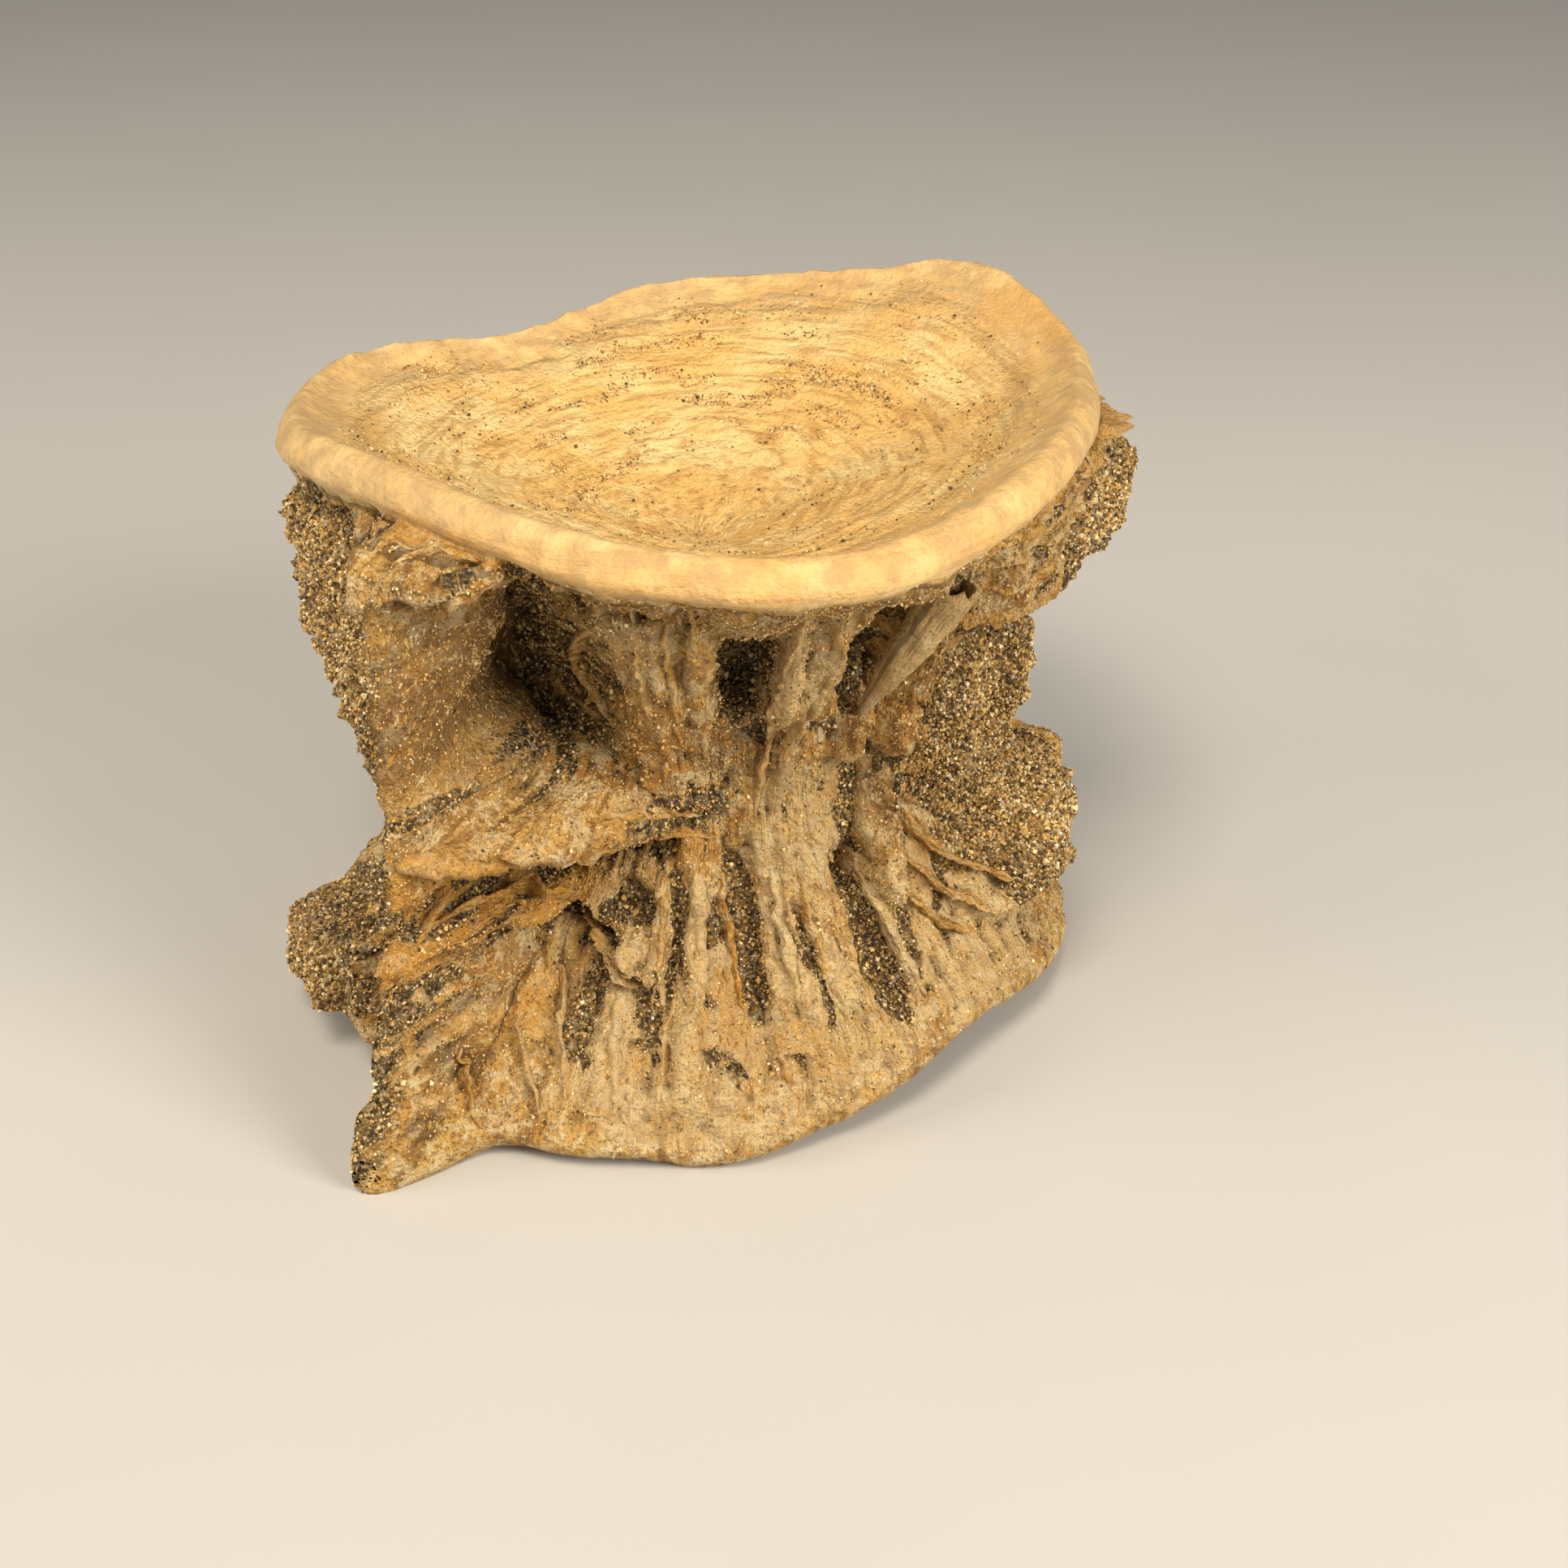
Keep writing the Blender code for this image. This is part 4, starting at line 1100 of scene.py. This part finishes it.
# Plates and struts: path as angle, height and how far it stands out, then thickness at root and edge, lean
# in degrees, and warmth from 0, pale grey, to 1, honey.
PLATES = {
    "corner_edge_plates": (
        (((229.5, 42.0, 0.3), (231.2, 38, 0.5), (233, 30, 0.5), (234.2, 22.6, 0.8)), 1.8, 0.45, 0, 0.5),
        (((234.2, 22.0, 0.6), (235, 12, 0.7), (235.6, 2.0, 0.4)), 1.8, 0.45, 0, 0.4),
    ),
    "cavity_roof_plates": (
        (((231, 37.0, 0.6), (236, 37.8, 0.9), (241, 38.8, 0.8), (246, 39.6, 0.4)), 1.6, 0.5, 0, 0.55),
        (((233, 40.4, 0.3), (238, 41.0, 0.5), (243, 40.8, 0.4)), 1.6, 0.6, 0, 0.4),
    ),
    "shelf_plates": (
        (((232.6, 21.8, 0.8), (238, 20.9, 1.5), (246, 19.9, 1.4), (258, 19.3, 0.7)), 2.7, 1.9, 0, 0.4),
        (((246, 21.4, 0.4), (258, 20.6, 0.6), (272, 19.2, 0.4)), 1.2, 0.5, 0, 0.5),
        (((250, 17.2, 0.3), (262, 17.8, 0.5), (276, 17.6, 0.3)), 1.1, 0.4, 0, 0.6),
    ),
    "lower_left_plates": (
        (((234, 15.2, 0.8), (238, 15.0, 1.3), (243, 14.4, 1.6), (247.5, 13.9, 1.0)), 1.3, 0.4, 0, 0.5),
        (((246, 12.2, 0.8), (252, 10.8, 1.3), (262, 9.2, 0.8)), 1.2, 0.4, 0, 0.3),
        (((239, 12.4, 0.4), (242, 10.2, 0.8), (245, 7.4, 0.5)), 1.2, 0.4, 0, 0.6),
        (((241, 8.2, 0.3), (244, 6.2, 0.7), (250, 3.6, 0.4)), 1.1, 0.4, 0, 0.25),
        (((245, 9.4, 0.3), (249, 7.0, 0.7), (253, 4.4, 0.4)), 1.1, 0.4, 0, 0.2),
        (((238, 6.6, 0.3), (240, 4.6, 0.6), (244, 2.6, 0.3)), 1.1, 0.4, 0, 0.5),
    ),
    "front_struts": (
        (((286.5, 38.6, 0.5), (287.8, 31.4, 0.9), (286.8, 25, 0.6), (285, 19, 0.3)), 1.3, 0.6, 0, 0.3),
        (((292.5, 38.6, 0.5), (292.8, 31.6, 0.9), (290.8, 25, 0.6), (289, 19, 0.3)), 1.3, 0.6, 0, 0.3),
        (((296.5, 38.6, 0.4), (296.2, 32, 0.7), (294.8, 26, 0.4)), 1.2, 0.5, 0, 0.35),
        (((271.5, 39.0, 0.3), (272.8, 31, 0.6), (273.4, 24, 0.4)), 1.7, 0.8, 0, 0.4),
        (((257.4, 38.6, 0.3), (256.6, 32, 0.6), (257.4, 25, 0.3)), 1.3, 0.5, 0, 0.4),
        (((262.2, 38.6, 0.2), (262.6, 33, 0.35), (264.0, 26, 0.2)), 1.2, 0.5, 0, 0.3),
        (((267.0, 39.0, 0.2), (267.6, 32, 0.35), (268.4, 25, 0.2)), 1.2, 0.5, 0, 0.4),
    ),
    "right_edge_plates": (
        (((317.4, 37.4, 0.5), (316.2, 31, 0.9), (315.2, 24, 1.1), (314.8, 20, 0.7)), 1.3, 0.45, 0, 0.4),
        (((315, 21, 0.6), (313.6, 16, 1.1), (311.4, 11, 0.5)), 1.2, 0.45, 0, 0.35),
    ),
    "pale_strips": (
        (((286.4, 15.4, 0.3), (287.8, 12, 0.7), (289.0, 8.4, 0.4)), 1.7, 0.9, 0, 0.05),
        (((270.6, 15.8, 0.3), (271.6, 12.2, 0.6), (272.6, 8.6, 0.3)), 1.8, 1.0, 0, 0.1),
        (((256.6, 9.6, 0.3), (258, 7, 0.6), (259.6, 3.8, 0.3)), 1.6, 0.8, 0, 0.05),
        (((277.2, 15.4, 0.2), (278.0, 11.4, 0.5), (279, 7, 0.2)), 1.1, 0.5, 0, 0.45),
        (((293.4, 15.4, 0.2), (294.4, 11, 0.5), (295.6, 6, 0.2)), 1.2, 0.5, 0, 0.4),
        (((298.6, 16.6, 0.3), (300.2, 12, 0.7), (302, 6.4, 0.3)), 1.3, 0.6, 0, 0.3),
        (((308.6, 15, 0.3), (309.6, 10.6, 0.7), (310.8, 6.6, 0.3)), 1.6, 0.8, 0, 0.15),
        (((263.6, 15.4, 0.2), (263.4, 11.8, 0.5), (263.2, 8, 0.2)), 1.1, 0.5, 0, 0.45),
        (((266.8, 9.6, 0.2), (266.0, 6.4, 0.4), (265.2, 3.6, 0.2)), 1.1, 0.5, 0, 0.3),
        (((283.4, 7.6, 0.2), (284.4, 5.4, 0.4), (285.6, 3.2, 0.2)), 1.1, 0.5, 0, 0.4),
    ),
    "recess_laminae": (
        (((317.5, 33.6, 0.3), (325, 32.8, 1.1), (334, 33.2, 0.6)), 1.0, 0.3, 25, 0.8),
        (((317.5, 30.6, 0.4), (326, 30.0, 1.3), (336, 30.8, 0.6)), 1.1, 0.3, 25, 0.9),
        (((317, 27.6, 0.4), (324, 26.8, 1.1), (334, 27.2, 0.5)), 1.0, 0.3, 25, 0.85),
        (((316.6, 23.4, 0.4), (326, 22.6, 1.5), (338, 23.4, 0.7)), 1.3, 0.35, 30, 0.85),
        (((316.6, 20.4, 0.4), (328, 19.2, 1.2), (340, 19.4, 0.6)), 1.1, 0.35, 25, 0.9),
        (((315.6, 18.8, 0.4), (323, 15.2, 1.3), (333, 11.8, 0.6)), 1.1, 0.35, 20, 0.7),
        (((314.6, 16.2, 0.4), (322, 12.4, 1.2), (331, 9.4, 0.6)), 1.1, 0.35, 20, 0.5),
        (((313.6, 13.6, 0.3), (319, 10.6, 0.9), (326, 8.4, 0.4)), 1.0, 0.35, 20, 0.45),
        (((319, 17.6, 0.3), (327, 13.8, 0.9), (337, 10.6, 0.4)), 1.0, 0.35, 20, 0.6),
    ),
    "shoulder_laminae": (
        (((322, 38.2, 0.5), (332, 39.4, 1.0), (344, 40.6, 0.7)), 1.2, 0.4, 20, 0.5),
        (((322, 36.2, 0.5), (332, 37.2, 1.1), (344, 38.6, 0.9), (352, 39.4, 0.6)), 1.4, 0.5, 20, 0.35),
        (((322, 34.4, 0.4), (332, 35.0, 0.9), (343, 36.2, 0.7)), 1.2, 0.4, 20, 0.45),
        (((326, 32.6, 0.3), (335, 33.0, 0.7), (346, 34.0, 0.5)), 1.1, 0.4, 20, 0.4),
        (((352, 39.0, 0.8), (359, 41.6, 2.2), (367, 42.8, 1.6)), 1.3, 0.4, 0, 0.9),
        (((357, 40.4, 0.5), (364, 42.4, 1.2), (372, 43.4, 0.8)), 0.9, 0.3, 0, 1.0),
        (((344, 40.2, 0.8), (349, 39.6, 1.3), (355, 38.8, 0.7)), 2.4, 1.6, 0, 0.5),
    ),
    "back_struts": (
        (((127, 38, 0.5), (131, 28, 1.2), (134, 16, 1.2), (136, 5, 0.4)), 1.5, 0.6, 0, 0.45),
        (((51, 38, 0.5), (55, 28, 1.2), (58, 16, 1.2), (60, 5, 0.4)), 1.5, 0.6, 0, 0.45),
        (((73, 37, 0.5), (75, 30, 1.0), (78, 21, 0.7)), 1.2, 0.5, 0, 0.4),
        (((88, 38, 0.4), (90, 30, 1.1), (92, 20, 1.1), (94, 9, 0.5)), 1.3, 0.5, 0, 0.45),
        (((106, 38, 0.4), (105, 30, 1.1), (104, 20, 1.1), (103, 9, 0.5)), 1.3, 0.5, 0, 0.45),
        (((112, 20, 0.5), (114, 12, 1.1), (116, 5, 0.5)), 1.2, 0.5, 0, 0.35),
        (((152, 37, 0.4), (152, 28, 1.1), (154, 19, 0.6)), 1.3, 0.5, 0, 0.45),
        (((24, 30, 0.5), (22, 22, 1.1), (20, 12, 0.6)), 1.3, 0.5, 0, 0.45),
        (((66, 18, 0.5), (68, 11, 1.0), (70, 4, 0.4)), 1.1, 0.5, 0, 0.35),
        (((166, 18, 0.5), (164, 11, 1.0), (163, 4, 0.4)), 1.1, 0.5, 0, 0.35),
        (((140, 20, 0.5), (143, 12, 0.9), (146, 4, 0.4)), 1.1, 0.5, 0, 0.3),
        (((38, 18, 0.5), (40, 11, 0.9), (41, 4, 0.4)), 1.1, 0.5, 0, 0.3),
    ),
}

# Hollow tube among the struts: lower and upper end as angle, height and distance from the axis, radius,
# wall, warmth.
TUBES = {"front_struts": ((305.8, 25.5, 17.6), (310.4, 38.0, 25.3), 1.5, 0.4, 0.4)}

# Eight-sided crystal: three tips along its axes, then the three opposite ones.
CRYSTAL = np.array([(0, 1, 2), (1, 3, 2), (3, 4, 2), (4, 0, 2), (1, 0, 5), (3, 1, 5), (4, 3, 5), (0, 4, 5)])
# Spread of the grains' sizes about the usual one, and the smallest and largest.
GRAIN_SPREAD = 0.3
SMALLEST_GRAIN = 0.05
LARGEST_GRAIN = 0.28


def scatter_grains(name, surfaces, total, seed, usual, finish, slot="sandy_rock", splinter=0.0):
    """Sand grains cemented to rough surfaces: each is a jittered eight-sided crystal, partly sunk. A surface
    is its points, normals and chance of holding a grain, as grids. Places are drawn by area times chance.
    Splinters of bone are made alike, that many times longer down the side."""
    rng = np.random.default_rng(seed)
    corner_sets, chances = [], []
    for points, normals, chance in surfaces:
        a, b, c, d = points[:-1, :-1], points[:-1, 1:], points[1:, :-1], points[1:, 1:]
        area = np.linalg.norm(np.cross(d - a, c - b), axis=-1) / 2
        chances.append((area * chance[:-1, :-1]).ravel())
        corner_sets.append(np.stack([a, b, c, d, normals[:-1, :-1]], axis=-2).reshape(-1, 5, 3))
    corners = np.concatenate(corner_sets)
    chance = np.concatenate(chances)
    picked = rng.choice(len(chance), total, p=chance / chance.sum())
    s, t = rng.random((2, total, 1))
    a, b, c, d, normal = corners[picked].transpose(1, 0, 2)
    middle = (a * (1 - s) + b * s) * (1 - t) + (c * (1 - s) + d * s) * t
    size = rng.lognormal(np.log(usual), GRAIN_SPREAD, (total, 1))
    size = np.clip(size, SMALLEST_GRAIN, LARGEST_GRAIN)
    middle = middle + normal * size * rng.uniform(-0.1, 0.6, (total, 1))
    axes = np.linalg.qr(rng.normal(size=(total, 3, 3)))[0]
    tips = np.concatenate([axes, -axes], axis=1) * rng.uniform(0.7, 1.25, (total, 6, 1))
    points = middle[:, None, :] + tips * size[:, None, :]
    if splinter:
        down = unit(c - a)
        leaning = rng.normal(0, 0.3, (total, 1))
        along = unit(down * np.cos(leaning) + np.cross(normal, down) * np.sin(leaning))
        axes = np.stack([along * splinter, unit(np.cross(normal, along)), normal * 0.5], axis=1)
        tips = np.concatenate([axes, -axes], axis=1) * rng.uniform(0.6, 1.3, (total, 6, 1))
        middle = middle - normal * size * 0.35
        points = middle[:, None, :] + tips * size[:, None, :]
    side = np.sign(np.linalg.det(axes))
    each = np.where(side[:, None, None] > 0, CRYSTAL[None], CRYSTAL[None, :, ::-1])
    each = each + 6 * np.arange(total)[:, None, None]
    tones = np.array([linear(code)[:3] for code in SAND_TONES])
    shares = np.array(list(SAND_TONES.values()))
    tone = tones[rng.choice(len(tones), total, p=shares)] * rng.uniform(0.8, 1.15, (total, 1))
    cells = int(np.ceil(np.sqrt(total)))
    cell = np.stack([np.arange(total) % cells, np.arange(total) // cells], axis=-1) / cells
    patch = np.array([(0.2, 0.2), (0.8, 0.2), (0.5, 0.8)]) / cells
    uv = (cell[:, None, None, :] + patch[None, None]) + np.zeros((total, 8, 3, 2))
    values = {"tone": np.repeat(np.clip(tone, 0, 1), 6, axis=0)}
    faces = [each.reshape(-1, 3)]
    mesh_piece(name, points.reshape(-1, 3), faces, uv.reshape(-1, 2), finish, False, values)


def floor_material():
    """Painted board of the studio table: even, pale and matt."""
    made, tree, shader = new_material("painted board, pale")
    place = add(tree, "ShaderNodeTexCoord").outputs["Object"]
    tone = mixed(tree, mottle(tree, place, 60.0), linear("#C8C6C1"), linear("#C1BFBA"))
    tree.links.new(tone, shader.inputs["Base Color"])
    shader.inputs["Roughness"].default_value = 0.8
    return made


# The studio, in metres: half the floor's width, the strength of the soft sky, the point that the lamps are
# aimed at, and each lamp's place, size, power in watts and colour.
FLOOR_REACH = 2.5
SKY_STRENGTH = 0.30
LAMP_TARGET = np.array([0, 0, 0.022])
LAMPS = {
    "broad lamp": ((-0.06, -0.21, 0.37), 0.13, 1.14, "#FFF1DC"),
    "side lamp": ((0.30, -0.24, 0.22), 0.20, 1.7, "#FFF6EA"),
    "left lamp": ((-0.36, -0.10, 0.20), 0.20, 0.8, "#FFF6EA"),
}


def studio():
    """A pale floor, a soft sky, a small lamp above the front and a broader one at either side."""
    mesh = bpy.data.meshes.new("floor")
    far = FLOOR_REACH
    mesh.from_pydata([(-far, -far, 0), (far, -far, 0), (far, far, 0), (-far, far, 0)], [], [(0, 1, 2, 3)])
    floor = bpy.data.objects.new("floor", mesh)
    bpy.context.scene.collection.objects.link(floor)
    mesh.materials.append(floor_material())
    world = bpy.data.worlds.new("studio air")
    bpy.context.scene.world = world
    world.use_nodes = True
    sky = world.node_tree.nodes["Background"].inputs
    sky["Color"].default_value = linear("#F2F0EC")
    sky["Strength"].default_value = SKY_STRENGTH
    for name, (place, size, power, colour) in LAMPS.items():
        light = bpy.data.lights.new(name, "AREA")
        light.size = size
        light.energy = power
        light.color = linear(colour)[:3]
        lamp = bpy.data.objects.new(name, light)
        lamp.location = place
        aim = LAMP_TARGET - np.array(place)
        lamp.rotation_euler = (
            np.arctan2(np.hypot(aim[0], aim[1]), -aim[2]),
            0,
            np.arctan2(aim[1], aim[0]) - np.pi / 2,
        )
        bpy.context.scene.collection.objects.link(lamp)


# The photo's camera: its place about the bone's axis, its tilt down, its focal length and the photo's width
# in pixels, and the width of the sensor in millimetres.
CAMERA_PLACE = np.array([6, -133, 91])
CAMERA_TILT = 30.5
FOCAL_PIXELS = 2600
PHOTO_PIXELS = 1932
SENSOR_WIDTH = 36


def camera():
    """The photograph's view: from the front and above, close enough for its strong perspective."""
    lens = bpy.data.cameras.new("camera")
    lens.sensor_width = SENSOR_WIDTH
    lens.lens = SENSOR_WIDTH * FOCAL_PIXELS / PHOTO_PIXELS
    lens.clip_start = 0.01
    seen = bpy.data.objects.new("camera", lens)
    seen.location = (CAMERA_PLACE + AXIS) * METRES
    seen.rotation_euler = (np.radians(90 - CAMERA_TILT), 0, 0)
    bpy.context.scene.collection.objects.link(seen)
    bpy.context.scene.camera = seen
    bpy.context.scene.view_settings.view_transform = "Standard"


def main():
    camera()
    studio()
    skin = Skin()
    bone = bone_material()
    rock = rock_material()
    grain = grain_material()
    dusty_grain = dust_material()
    bone_skin(skin, bone)
    seed = 100
    for name, rows in PLATES.items():
        parts = []
        for stations, thick, edge, lean, warmth in rows:
            parts.append(blade(skin, stations, thick, edge, lean, warmth, seed))
            seed += 10
        if name in TUBES:
            parts.append(tube(*TUBES[name], seed))
        blades_piece(name, parts, bone)
    crusts = []
    for name, patch in ROCK_PATCHES.items():
        over, cover = rock_crust(name, skin, patch, rock)
        normals = np.broadcast_to(level_way(patch[0]), over.shape)
        crusts.append((over, normals, cover**2))

    def on_bone(name, chance, total, *rest, **settings):
        """Grains on the bone's skin, with a chance for each of its grid points."""
        scatter_grains(name, [(skin.points, skin.normals, chance)], total, *rest, **settings)

    sandy = rise(skin.sand, 0.45, 0.9) + 0.05 * skin.side
    on_bone("bone_sand_grains", sandy, 24000, 7, 0.115, grain)
    dusty = (0.4 - 0.3 * rise(skin.sand, 0.45, 0.9)) * skin.side + 7.0 * skin.cup_specks
    on_bone("bone_sand_specks", dusty, 24000, 9, 0.075, grain)
    front = 0.1 + window(turn(skin.angles, 280), -75, 75, 15) * (1 - 0.5 * skin.cup)
    drift = 0.25 + 0.75 * rise(cloud(skin.points, 2.6, 24), -0.3, 0.5)
    dust = front * drift * (skin.side + 0.25 * skin.cup)
    on_bone("bone_golden_dust", dust, 24000, 11, 0.07, dusty_grain)
    scatter_grains("rock_sand_grains", crusts, 20000, 8, 0.12, grain)
    bare = skin.side * (1 - 0.8 * rise(skin.sand, 0.4, 0.8))
    on_bone("bone_splinters", bare, 8000, 10, 0.13, bone, slot="fossil_bone", splinter=3.2)


main()
